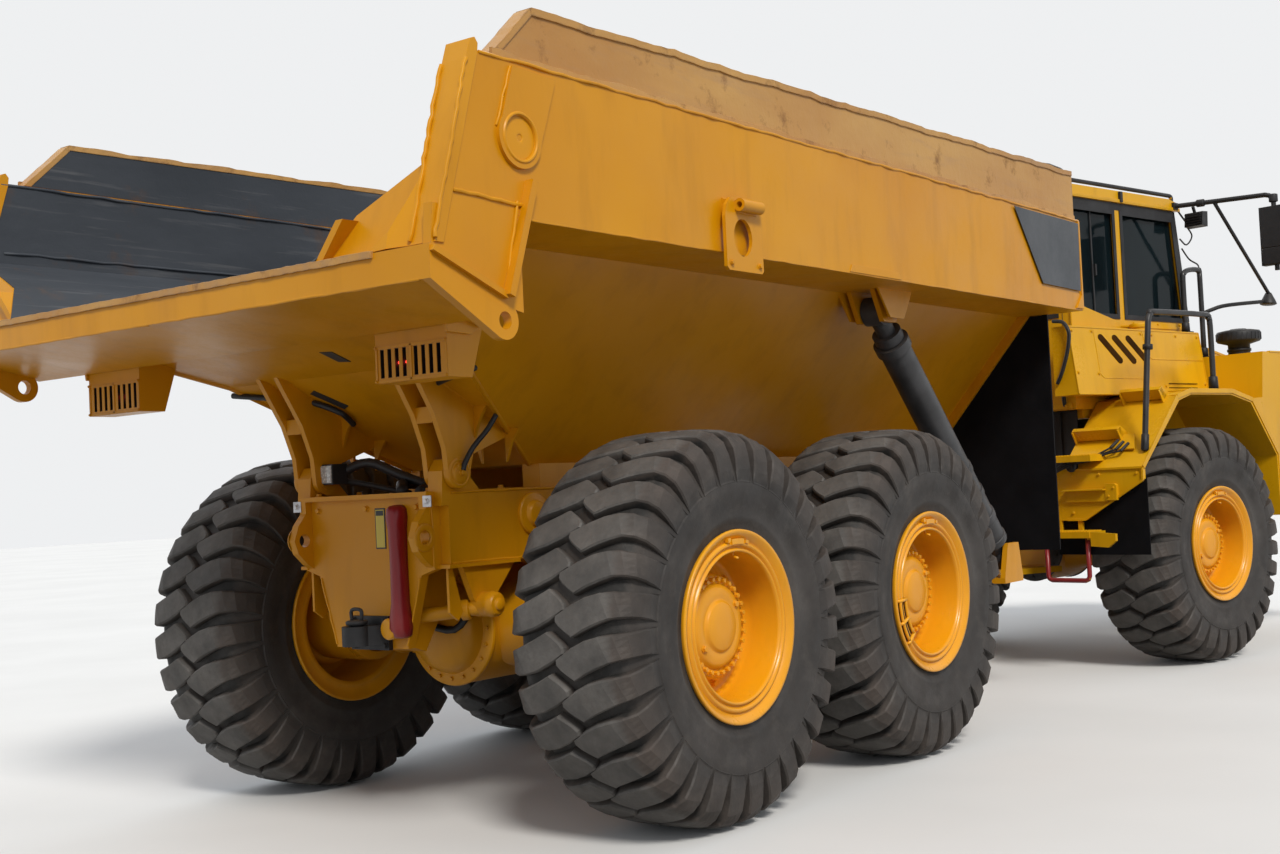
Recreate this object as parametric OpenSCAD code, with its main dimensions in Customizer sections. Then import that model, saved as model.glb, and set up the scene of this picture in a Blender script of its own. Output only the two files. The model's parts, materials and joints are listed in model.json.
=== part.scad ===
// Articulated six-wheel dump truck, 30 t class, parked with its front unit turned a little to the right.
// The rear unit is drawn from the steering axis: +X forward, +Y left, +Z up, ground at 0.
// The front unit uses the same point, turned by rest_steer.

/* [Layout] */
// Turn of the front unit as it is parked, negative to the right, degrees
rest_steer = -12; // [-20:1:20]
// Steering axis to the front axle
hitch_to_front_axle = 1210; // [1150:5:1300]
// Front axle to the first bogie axle
wheelbase = 4175; // [4100:5:4300]
// Distance between the two bogie axles
bogie_spacing = 1670; // [1640:5:1720]
// Distance between the tyre centres across the machine
track = 2258; // [2240:2:2300]
// Front axle to the nose
front_overhang = 2764; // [2700:5:2850]

/* [Wheels] */
// Tyre diameter over the lugs
tyre_d = 1600; // [1560:2:1620]
// Tyre width at the bulge
tyre_w = 600; // [560:2:610]
// Width over the tread blocks
tread_w = 560; // [500:2:570]
// Height of the shoulder below the crown
shoulder_drop = 55; // [45:1:65]
// Depth of the grooves between the blocks
groove_depth = 42; // [25:1:55]
// Lugs on each side of a tyre
lug_count = 31; // [28:1:33]
// Bead seat diameter of the rim
rim_seat_d = 635; // [620:1:645]
// Outer diameter of the rim flanges
flange_d = 762; // [740:1:780]
// Width between the rim flanges' outer faces
rim_w = 560; // [530:2:580]
// Thickness of the rim barrel
rim_wall = 22; // [16:1:30]
// Radius of the planetary hub that shows inside the rim
hub_r = 215; // [190:1:230]
// Radius of the wheel spindle
spindle_r = 95; // [80:1:110]
// Running clearance of the pins and spindles, on the radius
run_fit = 0.06; // [0.03:0.01:0.1]

/* [Bed] */
// Last axle to the end of the bed's lip
bed_overhang = 1688; // [1600:4:1750]
// Length of the bed
bed_len = 5370; // [5250:10:5400]
// Width over the bed
bed_w = 2900; // [2860:5:2940]
// Thickness of the boxed side walls
side_t = 97; // [70:1:110]
// Thickness of the trough plate
plate_t = 28; // [20:1:40]
// Height of the trough's bottom above the ground
floor_z = 1500; // [1490:2:1530]
// Half width of the trough's bottom
floor_half = 370; // [350:5:400]
// Half width of the trough where it meets the ledge
ledge_half = 1060; // [1040:5:1075]
// Height of the ledge under the side walls
ledge_z = 2300; // [2285:5:2330]
// Height of the seam on top of the side walls
seam_z = 2825; // [2780:5:2860]
// Height of the extension boards' rear top corner
board_rear_z = 3034; // [3000:2:3060]
// Height of the extension boards' front top corner
board_front_z = 3119; // [3100:2:3160]
// Height of the front spill board
head_z = 3190; // [3150:5:3250]
// Thickness of the extension boards
board_t = 60; // [40:1:80]
// Height of the lip's top edge
lip_z = 2170; // [2150:2:2190]
// Height of the tipping hinge
tip_z = 1470; // [1455:1:1480]
// Tipping hinge behind the last axle
tip_back = 600; // [580:2:620]
// Radius of the tipping hinge pins
tip_pin_r = 38; // [30:1:42]

/* [Hoist] */
// Half distance between the two hoist cylinders
hoist_y = 1150; // [1140:1:1160]
// Rod eye ahead of the last axle
hoist_eye_x = 1700; // [1680:2:1720]
// Height of the rod eye
hoist_eye_z = 2195; // [2180:1:2200]
// Foot pin ahead of the last axle
hoist_foot_x = 3000; // [2980:2:3020]
// Height of the foot pin
hoist_foot_z = 880; // [860:2:900]
// Outer radius of the hoist barrels
barrel_r = 82; // [74:1:86]
// Outer radius of the middle stage
sleeve_r = 66; // [60:1:70]
// Radius of the rod
rod_r = 48; // [40:1:56]
// Radius of the foot pins
hoist_pin_r = 38; // [30:1:42]

/* [Rear frame] */
// Half width over the rear frame rails
rail_half = 440; // [420:2:460]
// Thickness of the rail plates
rail_t = 60; // [40:2:80]
// Height of the top of the rails
rail_top = 1400; // [1390:2:1410]
// Height of the rails
rail_h = 300; // [280:2:310]
// Rear plate behind the last axle
tail_back = 640; // [620:2:660]

/* [Cab] */
// Height of the cab roof
roof_z = 3318; // [3290:2:3340]
// Half width of the cab
cab_half = 760; // [740:2:790]
// Rear wall of the cab ahead of the steering axis
cab_rear = 520; // [500:5:560]
// Foot of the windscreen ahead of the steering axis
cab_front = 2060; // [2020:5:2090]
// Height of the cab floor
cab_floor = 1760; // [1740:5:1800]
// Height of the lower edge of the side windows
sill_z = 2410; // [2380:5:2440]
// Thickness of the cab's posts and panels
cab_t = 60; // [45:1:70]
// Thickness of the glass
glass_t = 8; // [6:1:10]
// Gap round the door and its glass
door_gap = 8; // [6:1:12]

/* [Front unit] */
// Half width over the front fenders
fender_half = 1380; // [1360:5:1400]
// Height of the fender's flat top
fender_z = 1830; // [1810:5:1850]
// Half width of the hood
hood_half = 610; // [580:5:640]
// Height of the hood at the windscreen
hood_rear_z = 2330; // [2300:5:2360]
// Height of the hood at the nose
hood_nose_z = 1768; // [1740:4:1800]
// Height of the hinge of the hood
hood_hinge_z = 1640; // [1620:5:1660]
// Thickness of the fender and hood plates
skin_t = 24; // [16:1:30]
// Half width of the front frame
front_rail_half = 400; // [380:5:420]
// Radius of the steering pin
steer_pin_r = 60; // [50:1:70]
// Radius of the steering cylinders
steer_barrel_r = 55; // [48:1:60]

/* [Hidden] */

mid_axle_x = hitch_to_front_axle - wheelbase;
rear_axle_x = mid_axle_x - bogie_spacing;
nose_x = hitch_to_front_axle + front_overhang;
bed_rear_x = rear_axle_x - bed_overhang;
bed_front_x = bed_rear_x + bed_len;
axle_z = tyre_d / 2;
wheel_y = track / 2;
tip_x = rear_axle_x - tip_back;
tail_x = rear_axle_x - tail_back;
eye_x = rear_axle_x + hoist_eye_x;
foot_x = rear_axle_x + hoist_foot_x;
bed_half = bed_w / 2;
gap = 5;
seat_gap = 0.3;
steel = "goldenrod";

// The right front housing reaches furthest right and the bumper's left corner furthest ahead once it is turned
housing_nose = [3500, fender_half - 20];
bumper_half = 1180;
origin_x = -(bed_rear_x + nose_x * cos(rest_steer) + bumper_half * abs(sin(rest_steer))) / 2;
bracket_y = bed_half + 24;
bracket_t = 16;
bush_r = 26;
bush_y = bracket_y + bracket_t + bush_r - 4;
origin_y = -(bush_y + bush_r + housing_nose[0] * sin(rest_steer) - housing_nose[1] * cos(rest_steer)) / 2;

module rear_place() { translate([origin_x, origin_y, 0]) children(); }
module front_place() { rear_place() rotate([0, 0, rest_steer]) children(); }
module both_sides() { children(); mirror([0, 1, 0]) children(); }
// A side view outline, points as [x, z], extruded from y0 to y1
module side_plate(y0, y1, points) {
    translate([0, y1, 0]) rotate([90, 0, 0]) linear_extrude(y1 - y0) polygon(points);
}
// A cross section, points as [y, z], extruded from x0 to x1
module cross_plate(x0, x1, points) {
    translate([x0, 0, 0]) rotate([90, 0, 90]) linear_extrude(x1 - x0) polygon(points);
}
// A plan view outline, points as [x, y], extruded from z0 to z1
module floor_plate(z0, z1, points) { translate([0, 0, z0]) linear_extrude(z1 - z0) polygon(points); }
module block(low, high) { translate(low) cube(high - low); }
// A flat bar between two points of a side view
module strip(p, q, w, y0, y1) {
    n = [q[1] - p[1], p[0] - q[0]] * (w / 2) / norm(q - p);
    side_plate(y0, y1, [p - n, p + n, q + n, q - n]);
}
module y_pin(p, y0, y1, r) { translate([p[0], y1, p[1]]) rotate([90, 0, 0]) cylinder(h = y1 - y0, r = r, $fn = 64); }
module z_pin(p, z0, z1, r) { translate([p[0], p[1], z0]) cylinder(h = z1 - z0, r = r, $fn = 64); }
// A bar between two points of the plane y = 0, from distance a to distance b along it
module bar(p, q, a, b, r) {
    turn = atan2(q[0] - p[0], q[1] - p[1]);
    translate([p[0], 0, p[1]]) rotate([0, turn, 0]) translate([0, 0, a]) cylinder(h = b - a, r = r, $fn = 64);
}
function span(p, q) = norm([q[0] - p[0], q[1] - p[1]]);

// Bent tubes: a list of corners becomes a rounded route, and a ring of points is swept along it
tube_sides = 8;
bend_steps = 3;
function unit(v) = v / norm(v);
function arc_points(a, b, c, r) =
    let (u = unit(a - b), w = unit(c - b), half = acos(u * w) / 2, reach = r / tan(half),
        hub = b + unit(u + w) * r / sin(half), s = (b + u * reach - hub) / r, e = (b + w * reach - hub) / r,
        sweep = 180 - 2 * half)
    [for (i = [0:bend_steps]) let (f = i / bend_steps)
        hub + r * (s * sin((1 - f) * sweep) + e * sin(f * sweep)) / sin(sweep)];
function route(p, r) =
    [p[0], for (i = [1:1:len(p) - 2]) each arc_points(p[i - 1], p[i], p[i + 1], r), p[len(p) - 1]];
function heading(p, i) = let (n = len(p) - 1)
    unit((i == 0 ? unit(p[1] - p[0]) : unit(p[i] - p[i - 1])) + (i == n ? unit(p[n] - p[n - 1]) : unit(p[i + 1] - p[i])));
function across(v, t) = unit(v - t * (v * t));
module tube(corners, r, bend = 60) {
    p = route(corners, bend);
    n = len(p);
    start = heading(p, 0);
    side = across(abs(start[2]) < 0.9 ? [0, 0, 1] : [1, 0, 0], start);
    sides = [for (i = 0, v = side; i < n; i = i + 1, v = i < n ? across(v, heading(p, i)) : v) v];
    rings = [for (i = [0:n - 1]) let (t = heading(p, i), v = sides[i], w = cross(t, v))
        each [for (k = [0:tube_sides - 1]) let (a = 360 * k / tube_sides) p[i] + r * (v * cos(a) + w * sin(a))]];
    walls = [for (i = [0:n - 2], k = [0:tube_sides - 1]) let (a = i * tube_sides + k,
        b = i * tube_sides + (k + 1) % tube_sides)
        each [[a, a + tube_sides, b], [b, a + tube_sides, b + tube_sides]]];
    ends = [[for (k = [0:tube_sides - 1]) k],
        [for (k = [0:tube_sides - 1]) n * tube_sides - 1 - k]];
    polyhedron(points = rings, faces = concat(walls, ends));
}

// Wheels: the tyre and rim are revolved about the wheel's own axis, outer face towards +Y
side_wall_r = 600;
bead_half = rim_w / 2 - 22;
crown_r = tyre_d / 2;
// Half of the tyre's section between its lugs, from the crown to the bead, as [radius, distance from the middle]
carcass = [[crown_r - groove_depth, 0], [crown_r - groove_depth - 3, 117], [crown_r - groove_depth - 13, tread_w / 2 - 67],
    [crown_r - groove_depth - 36, tread_w / 2 - 32], [side_wall_r + 77, tyre_w / 2 - 23], [side_wall_r, tyre_w / 2 - 0.5],
    [side_wall_r - 90, tyre_w / 2 - 12], [flange_d / 2 + 20, bead_half - 6], [rim_seat_d / 2 + seat_gap, bead_half]];
// One lug seen along its radius, as [round the tyre, across it] from the groove's zig-zag to the side wall
lug_plan = [[-91, 60], [-22, 230], [-12, 285], [-20, 330], [92, 330], [81, 270], [75, 180], [29, 50], [-14, -22], [-40, -13]];
lug_r = sqrt(crown_r * crown_r - lug_plan[0][0] * lug_plan[0][0]);
// The same lug seen along the wheel's side, as [radius, across the tyre]
lug_side = [[crown_r - 60, -40], [lug_r, -40], [lug_r, 120], [crown_r - 15, tread_w / 2 - 55],
    [crown_r - shoulder_drop, tread_w / 2 + 2], [side_wall_r + 80, tyre_w / 2 - 3], [side_wall_r + 10, tyre_w / 2 + 1],
    [side_wall_r - 4, tyre_w / 2 - 15], [crown_r - 70, tread_w / 2 - 80]];
// A lug of the first row stands 9.15 degrees above the wheel's rear horizontal
lug_turn = 189.15;
module lug() {
    intersection() {
        translate([side_wall_r - 10, 0, 0]) rotate([0, 90, 0]) linear_extrude(crown_r - side_wall_r + 20)
            polygon([for (p = lug_plan) [-p[0], p[1]]]);
        translate([0, 0, -100]) linear_extrude(200) polygon(lug_side);
    }
}
module wheel_turn() { rotate([-90, 0, 0]) rotate_extrude($fn = 96) children(); }
module tyre() {
    color("dimgray") {
        wheel_turn() polygon(concat(carcass, [for (i = [len(carcass) - 1:-1:1]) [carcass[i][0], -carcass[i][1]]]));
        for (k = [0:lug_count - 1]) rotate([0, lug_turn + 360 * k / lug_count, 0]) {
            lug();
            rotate([180, 0, 0]) lug();
        }
    }
}
disc_y = 60;
hub_face_y = 175;
module rim() {
    seat_r = rim_seat_d / 2;
    flange_r = flange_d / 2;
    color("orange") difference() {
        union() {
            // Barrel with a flange at each edge
            wheel_turn() polygon([[seat_r - rim_wall, -rim_w / 2], [flange_r, -rim_w / 2],
                [flange_r, -bead_half - 2], [seat_r, -bead_half - 2], [seat_r, bead_half + 2],
                [flange_r, bead_half + 2], [flange_r, rim_w / 2], [seat_r - rim_wall, rim_w / 2]]);
            // Dished disc and planetary hub
            wheel_turn() polygon([[0, disc_y - 150], [hub_r, disc_y - 150], [hub_r, disc_y - 12],
                [seat_r - 10, disc_y - 12], [seat_r - 10, disc_y + 12], [hub_r, disc_y + 12],
                [hub_r - 10, hub_face_y - 20], [hub_r - 40, hub_face_y], [100, hub_face_y],
                [95, hub_face_y + 14], [0, hub_face_y + 14]]);
        }
        // Bearing bore
        y_pin([0, 0], disc_y - 151, disc_y + 20, spindle_r + run_fit);
    }
}
module at_wheel(x, side) { translate([x, side * wheel_y, axle_z]) children(); }
module on_wheel(x, side) { at_wheel(x, side) scale_side(side) children(); }
module scale_side(side) { if (side > 0) children(); else mirror([0, 1, 0]) children(); }

// Bed outlines, points as [x, z]
chute_x = rear_axle_x - 55;
knee_x = rear_axle_x - 800;
knee_z = 1900;
lip_t = 110;
ear = [bed_rear_x + 336, 1945];
wing_x = rear_axle_x - 1248;
side_top_x = bed_rear_x + 227;
side_foot_x = bed_rear_x + 32;
chute_under = [[chute_x, floor_z], [knee_x, knee_z], [bed_rear_x, lip_z - plate_t]];
wing_t = 36;
beam_front_x = rear_axle_x - 1260;
beam_drop = 50;
eye_r = 30;
module bed_solid() {
    // Band of the side walls, with the rear edge sloping down to the lip
    side_plate(-bed_half, bed_half, [[bed_front_x, ledge_z - 10], [bed_front_x, seam_z], [side_top_x, seam_z],
        [side_foot_x, lip_z + 4], [bed_rear_x, lip_z], [bed_rear_x, lip_z - lip_t],
        [beam_front_x, chute_z(beam_front_x) - beam_drop], [beam_front_x, ledge_z - 10]]);
    // Wing plates with the towing eyes
    both_sides() {
        side_plate(bed_half - wing_t, bed_half, [[bed_rear_x, lip_z - lip_t], [ear[0] - 30, ear[1] - 57],
            [ear[0] + 44, ear[1] + 46], [ear[0] + 5, ear[1] + 85], [wing_x, ledge_z + 1], [bed_rear_x + 20, ledge_z + 1]]);
        y_pin(ear, bed_half - wing_t, bed_half, 64);
    }
    // Trough
    intersection() {
        cross_plate(bed_rear_x, bed_front_x - 35, [[-floor_half, floor_z], [floor_half, floor_z],
            [ledge_half, ledge_z], [-ledge_half, ledge_z]]);
        side_plate(-bed_half, bed_half, concat(chute_under,
            [[bed_rear_x, ledge_z + 1], [bed_front_x, ledge_z + 1], [bed_front_x, floor_z]]));
    }
}
module bed_cavity() {
    slope = atan2(ledge_z - floor_z, ledge_half - floor_half);
    inner_floor = floor_half - plate_t * tan((90 - slope) / 2);
    inner_ledge = inner_floor + (ledge_z + 20 - floor_z - plate_t) / tan(slope);
    intersection() {
        cross_plate(bed_rear_x - 500, bed_front_x - 60, [[-inner_floor, floor_z + plate_t],
            [inner_floor, floor_z + plate_t], [inner_ledge, ledge_z + 20], [bed_half - side_t, ledge_z + 170],
            [bed_half - side_t, seam_z + 10], [side_t - bed_half, seam_z + 10], [side_t - bed_half, ledge_z + 170],
            [-inner_ledge, ledge_z + 20]]);
        side_plate(-bed_half, bed_half, [[chute_x + 10, floor_z + plate_t], [knee_x + 8, knee_z + plate_t + 2],
            [bed_rear_x - 20, lip_z + 4], [bed_rear_x - 20, seam_z + 20], [bed_front_x, seam_z + 20],
            [bed_front_x, floor_z + plate_t]]);
    }
}
hinge_half = 400;
// Faces of the hinge lugs from the middle of their tower
lug_in = 45;
lug_out = 71;
function under_z(x) = floor_z + (knee_z - floor_z) * (chute_x - x) / (chute_x - knee_x);
module bed() {
    color(steel) {
        difference() {
            bed_solid();
            bed_cavity();
            // Towing eyes in the wing plates, clear of the beam under the lip
            both_sides() y_pin(ear, bed_half - wing_t - 1, bed_half + 1, eye_r);
        }
        // Front flange round the trough
        difference() {
            cross_plate(bed_front_x - 35, bed_front_x - 15, [[-floor_half - 60, floor_z - 20],
                [floor_half + 60, floor_z - 20], [ledge_half + 70, ledge_z], [-ledge_half - 70, ledge_z]]);
            cross_plate(bed_front_x - 36, bed_front_x - 14, [[-floor_half + 30, floor_z + 40],
                [floor_half - 30, floor_z + 40], [ledge_half - 60, ledge_z - 20], [60 - ledge_half, ledge_z - 20]]);
        }
        // Front wall below the band
        cross_plate(bed_front_x - 60, bed_front_x - 35, [[-floor_half, floor_z], [floor_half, floor_z],
            [ledge_half, ledge_z], [-ledge_half, ledge_z]]);
        both_sides() {
            wing_rims();
            pad_plate();
            side_bracket();
            tip_lug();
            hinge_gussets();
            hoist_ear();
            // Runner that rests on the frame rail
            block([chute_x, rail_half - 120, rail_top + seat_gap], [bed_front_x - 200, rail_half - 20, floor_z]);
        }
    }
}
// Rims on the outside of the wing plate, along the lip and up its front edge
rim_out = 18;
flange_out = 35;
module wing_rims() {
    tie = [ear[0] + 4, ear[1] + 80];
    strip([bed_rear_x + 6, lip_z - 14], tie, 20, bed_half - 1, bed_half + rim_out);
    strip(tie, [wing_x + 40, ledge_z + 122], 28, bed_half - 1, bed_half + flange_out);
}
// Pad plate that ends in a round with a recess
pad = [bed_rear_x + 438, 2565];
pad_r = 105;
pad_out = 14;
module pad_plate() {
    difference() {
        union() {
            side_plate(bed_half - 1, bed_half + pad_out, [[pad[0] - 27, seam_z - 22], [pad[0] + 193, seam_z - 32],
                [pad[0] + 95, pad[1] - 34], [pad[0], pad[1] - 60], [pad[0] - 102, pad[1] + 10]]);
            y_pin(pad, bed_half - 1, bed_half + pad_out, pad_r);
        }
        y_pin(pad, bed_half + pad_out - 8, bed_half + pad_out + 1, pad_r - 31);
    }
}
// Bracket with an oval window and a bushing, held off the wall by a spacer
bracket_x = rear_axle_x + 35;
bracket_low = ledge_z - 85;
oval = [65, 76];
module side_bracket() {
    block([bracket_x - 95, bed_half - 1, bracket_low + 225], [bracket_x + 95, bracket_y + 1, bracket_low + 285]);
    difference() {
        side_plate(bracket_y, bracket_y + bracket_t, [[bracket_x - 130, bracket_low + 14], [bracket_x - 116, bracket_low],
            [bracket_x + 118, bracket_low], [bracket_x + 130, bracket_low + 12], [bracket_x + 130, bracket_low + 240],
            [bracket_x + 90, bracket_low + 285], [bracket_x - 40, bracket_low + 305], [bracket_x - 88, bracket_low + 292],
            [bracket_x - 118, bracket_low + 260], [bracket_x - 130, bracket_low + 215]]);
        side_plate(bracket_y - 1, bracket_y + bracket_t + 1,
            [for (a = [0:20:340]) [bracket_x - 10 + oval[0] * cos(a), bracket_low + 136 + oval[1] * sin(a)]]);
    }
    translate([bracket_x - 60, bush_y, bracket_low + 262]) rotate([0, 90, 0]) difference() {
        cylinder(h = 150, r = bush_r, $fn = 64);
        translate([0, 0, -1]) cylinder(h = 40, r = bush_r / 2, $fn = 64);
    }
}
// Gussets that flare from both faces of the hinge lugs into the chute
gusset_t = 14;
gusset = [80, 140];
module hinge_gussets() {
    for (x = [tip_x + 95, tip_x + 280], side = [-1, 1]) {
        foot_y = hinge_half + side * (lug_out - 1);
        top = under_z(x) + 6;
        cross_plate(x, x + gusset_t, [[foot_y, top], [foot_y + side * gusset[0], top],
            [foot_y + side * gusset[0] * 0.4, top - gusset[1] * 0.45], [foot_y, top - gusset[1]]]);
    }
}
module tip_lug() {
    for (side = [-1, 1]) {
        y = hinge_half + side * (lug_in + lug_out) / 2;
        half = (lug_out - lug_in) / 2;
        difference() {
            union() {
                side_plate(y - half, y + half, [[tip_x + 62, tip_z], [tip_x + 85, tip_z + 75],
                    [tip_x + 330, under_z(tip_x + 330) + 14], [knee_x, knee_z + 14], [knee_x - 60, knee_z + 30],
                    [tip_x - 125, tip_z + 240], [tip_x - 72, tip_z + 100], [tip_x - 62, tip_z]]);
                y_pin([tip_x, tip_z], y - half, y + half, 62);
            }
            y_pin([tip_x, tip_z], y - half - 1, y + half + 1, tip_pin_r + run_fit);
        }
    }
    // Tie plate between the two lugs
    block([tip_x - 115, hinge_half - lug_in - 1, tip_z + 205], [tip_x - 95, hinge_half + lug_in + 1, tip_z + 270]);
}
// Two cheeks under the ledge, open between them so that the rod's eye can swing out
cheek_t = 26;
eye_half = 48;
module hoist_ear() {
    for (side = [-1, 1]) {
        y = hoist_y + side * (eye_half + gap + cheek_t / 2);
        side_plate(y - cheek_t / 2, y + cheek_t / 2, [[eye_x - 150, ledge_z], [eye_x - 60, hoist_eye_z - 60],
            [eye_x + 60, hoist_eye_z - 60], [eye_x + 170, ledge_z]]);
        y_pin([eye_x, hoist_eye_z], y + side * cheek_t / 2 - (side < 0 ? 14 : 0),
            y + side * cheek_t / 2 + (side < 0 ? 0 : 14), 42);
    }
}
module side_boards() {
    color("peru") {
        both_sides() side_plate(bed_half - side_t + 10, bed_half - side_t + 10 + board_t,
            [[bed_rear_x + 344, seam_z], [bed_rear_x + 559, board_rear_z], [bed_front_x + 1, board_front_z],
            [bed_front_x + 1, seam_z]]);
        cross_plate(bed_front_x, bed_front_x + 40, [[-bed_half + 40, seam_z - 60], [bed_half - 40, seam_z - 60],
            [bed_half - 40, board_front_z], [bed_half - 280, head_z], [-bed_half + 280, head_z],
            [-bed_half + 40, board_front_z]]);
    }
}
lamp_x = rear_axle_x - 1253;
function chute_z(x) = knee_z + (lip_z - plate_t - knee_z) * (knee_x - x) / (knee_x - bed_rear_x);
module lamp_boxes() {
    color(steel) both_sides() difference() {
        side_plate(717, 1079, [[lamp_x, 1794], [lamp_x, chute_z(lamp_x) - seat_gap], [lamp_x + 180, chute_z(lamp_x + 180) - seat_gap],
            [lamp_x + 120, 1794]]);
        for (row = [0, 1], slot = [0:3])
            block([lamp_x - 1, 740 + row * 172 + slot * 38, 1812], [lamp_x + 60, 760 + row * 172 + slot * 38, 1916]);
    }
}
flap_x = bed_front_x - 15;
module stone_flaps() {
    color("black") both_sides() cross_plate(flap_x, flap_x + 15, [[500, 880], [1230, 880],
        [1230, ledge_z - 10], [ledge_half + 50, ledge_z - 10], [floor_half + 90, 1590], [500, 1500]]);
}

// Rear frame: rails, tail plate, hinge towers and hoist outriggers
neck_x = -330;
module rear_frame() {
    color(steel) {
        difference() {
            union() {
                both_sides() side_plate(rail_half - rail_t, rail_half, [[tail_x, rail_top], [-1300, rail_top],
                    [-900, 1180], [neck_x, 1120], [neck_x, 640], [-900, 700], [-1500, rail_top - rail_h],
                    [tail_x, rail_top - rail_h]]);
                // Tail plate, narrowing downwards
                cross_plate(tail_x - 40, tail_x, [[-390, rail_top - 19], [-390, 1085], [-310, 1060], [-215, 760],
                    [215, 760], [310, 1060], [390, 1085], [390, rail_top - 19]]);
                // Top plate with its rear lip, and cross members
                block([tail_x - 75, -390, rail_top - 20], [tail_x + 500, 390, rail_top]);
                // Towing ears
                both_sides() difference() {
                    side_plate(345, 383, [[tail_x - 39, rail_top - 1], [tail_x - 75, rail_top - 1],
                        [tail_x - 72, 1330], [tail_x - 115, 1280], [tail_x - 140, 1215], [tail_x - 120, 1160],
                        [tail_x - 70, 1112], [tail_x - 39, 1092]]);
                    y_pin([tail_x - 85, 1216], 344, 384, 28);
                }
                for (x = [-3800, -2300, -1350])
                    block([x - 60, rail_t - rail_half, rail_top - rail_h + 30],
                        [x + 60, rail_half - rail_t, rail_top - 60]);
                // Neck block that carries the roll bearing
                block([neck_x - 60, rail_t - rail_half, 640], [neck_x, rail_half - rail_t, 1120]);
                // Lower tail box
                side_plate(-215, 215, [[tail_x - 1, 760], [tail_x + 60, 740], [tail_x + 300, 1101],
                    [tail_x - 1, 1101]]);
                both_sides() { tip_tower(); outrigger(); beam_pivot(); rod_bracket(); }
            }
            // Roll bearing bore
            translate([neck_x - 61, 0, 880]) rotate([0, 90, 0]) cylinder(h = 62, r = roll_r + run_fit, $fn = 96);
        }
        both_sides() {
            y_pin([tip_x, tip_z], hinge_half - lug_out - 4, hinge_half + lug_out + 4, tip_pin_r);
            y_pin([foot_x, hoist_foot_z], hoist_y - 80, hoist_y + 80, hoist_pin_r);
        }
    }
}
roll_r = 170;
module tip_tower() {
    side_plate(hinge_half - lug_in + gap, hinge_half + lug_in - gap, [[tail_x - 38, rail_top - 60],
        [tip_x - 66, tip_z + 10], [tip_x - 34, tip_z + 58], [tip_x + 34, tip_z + 58], [tip_x + 66, tip_z + 10],
        [tip_x + 200, rail_top - 60]]);
}
module outrigger() {
    // Arm from the rail to the hoist's foot, with two cheeks
    cheek = [[foot_x - 130, 770], [foot_x + 110, 770], [foot_x + 70, 960], [foot_x - 70, 960]];
    side_plate(rail_half - 1, hoist_y - 100, [[foot_x - 130, 820], [foot_x + 110, 820], [foot_x + 60, 1180],
        [foot_x - 60, 1180]]);
    side_plate(hoist_y - 101, hoist_y - eye_half - gap, cheek);
    side_plate(hoist_y + eye_half + gap, hoist_y + 83, cheek);
    block([foot_x - 130, hoist_y - 101, 740], [foot_x + 110, hoist_y + 83, 770]);
}
// Tapered bracket under the rail with a ball seat for the axle's rod
module rod_bracket() {
    side_plate(rail_half - 40, rail_half - 10, [[tail_x + 70, rail_top - rail_h + 1], [tail_x + 400, rail_top - rail_h + 1],
        [tail_x + 270, 960], [tail_x + 225, 905], [tail_x + 165, 905], [tail_x + 135, 950]]);
    y_pin([tail_x + 195, 925], rail_half - 46, rail_half + 30, 52);
    // Bottom flange of the rail
    block([tail_x - 20, rail_half - rail_t - 20, rail_top - rail_h - 14], [tail_x + 400, rail_half + 14, rail_top - rail_h + 1]);
}
pivot_x = (rear_axle_x + mid_axle_x) / 2;
module beam_pivot() { y_pin([pivot_x, 1040], rail_half - 1, 700, 60); }

beam_seat_z = 1010;
beam_in = 560;
beam_out = 690;
module bogie_axles() {
    color(steel) for (x = [rear_axle_x, mid_axle_x]) {
        axle_body(x, axle_z);
        // Spring seats under the bogie beams
        both_sides() block([x - 90, beam_in, axle_z], [x + 90, beam_out, beam_seat_z]);
    }
}
// Beam axle with a round differential, stub tubes and the spindles of its wheels
module axle_body(x, z) {
    translate([x, 0, z]) {
        rotate([0, 90, 0]) cylinder(h = 420, r = 255, center = true, $fn = 64);
        both_sides() {
            translate([0, 200, 0]) rotate([-90, 0, 0]) cylinder(h = 300, r1 = 190, r2 = 130, $fn = 64);
            y_pin([0, 0], 499, 760, 130);
            y_pin([0, 0], 759, wheel_y - 120, 190);
            y_pin([0, 0], wheel_y - 121, wheel_y + disc_y + 18, spindle_r);
        }
    }
}
module bogie_beams() {
    color(steel) both_sides() difference() {
        side_plate(beam_in, beam_out, [[rear_axle_x - 90, beam_seat_z], [rear_axle_x + 90, beam_seat_z],
            [pivot_x - 200, 930], [pivot_x + 200, 930], [mid_axle_x - 90, beam_seat_z],
            [mid_axle_x + 90, beam_seat_z], [mid_axle_x + 60, 1070], [pivot_x + 150, 1150],
            [pivot_x - 150, 1150], [rear_axle_x - 60, 1070]]);
        y_pin([pivot_x, 1040], beam_in - 1, beam_out + 1, 60 + run_fit);
    }
}
drawbar = [tail_x - 130, -12];
module tow_coupling() {
    color("dimgray") difference() {
        union() {
            // Head round the pin, tongue and flange
            z_pin(drawbar, 780, 860, 62);
            floor_plate(780, 860, [[tail_x - 150, -60], [tail_x - 60, -115], [tail_x - 41, -115], [tail_x - 41, 91],
                [tail_x - 60, 91], [tail_x - 150, 36]]);
            block([tail_x - 62, -125, 755], [tail_x - 40, 101, 895]);
        }
        z_pin(drawbar, 779, 861, 32);
    }
}
lock_y = -205;
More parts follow.
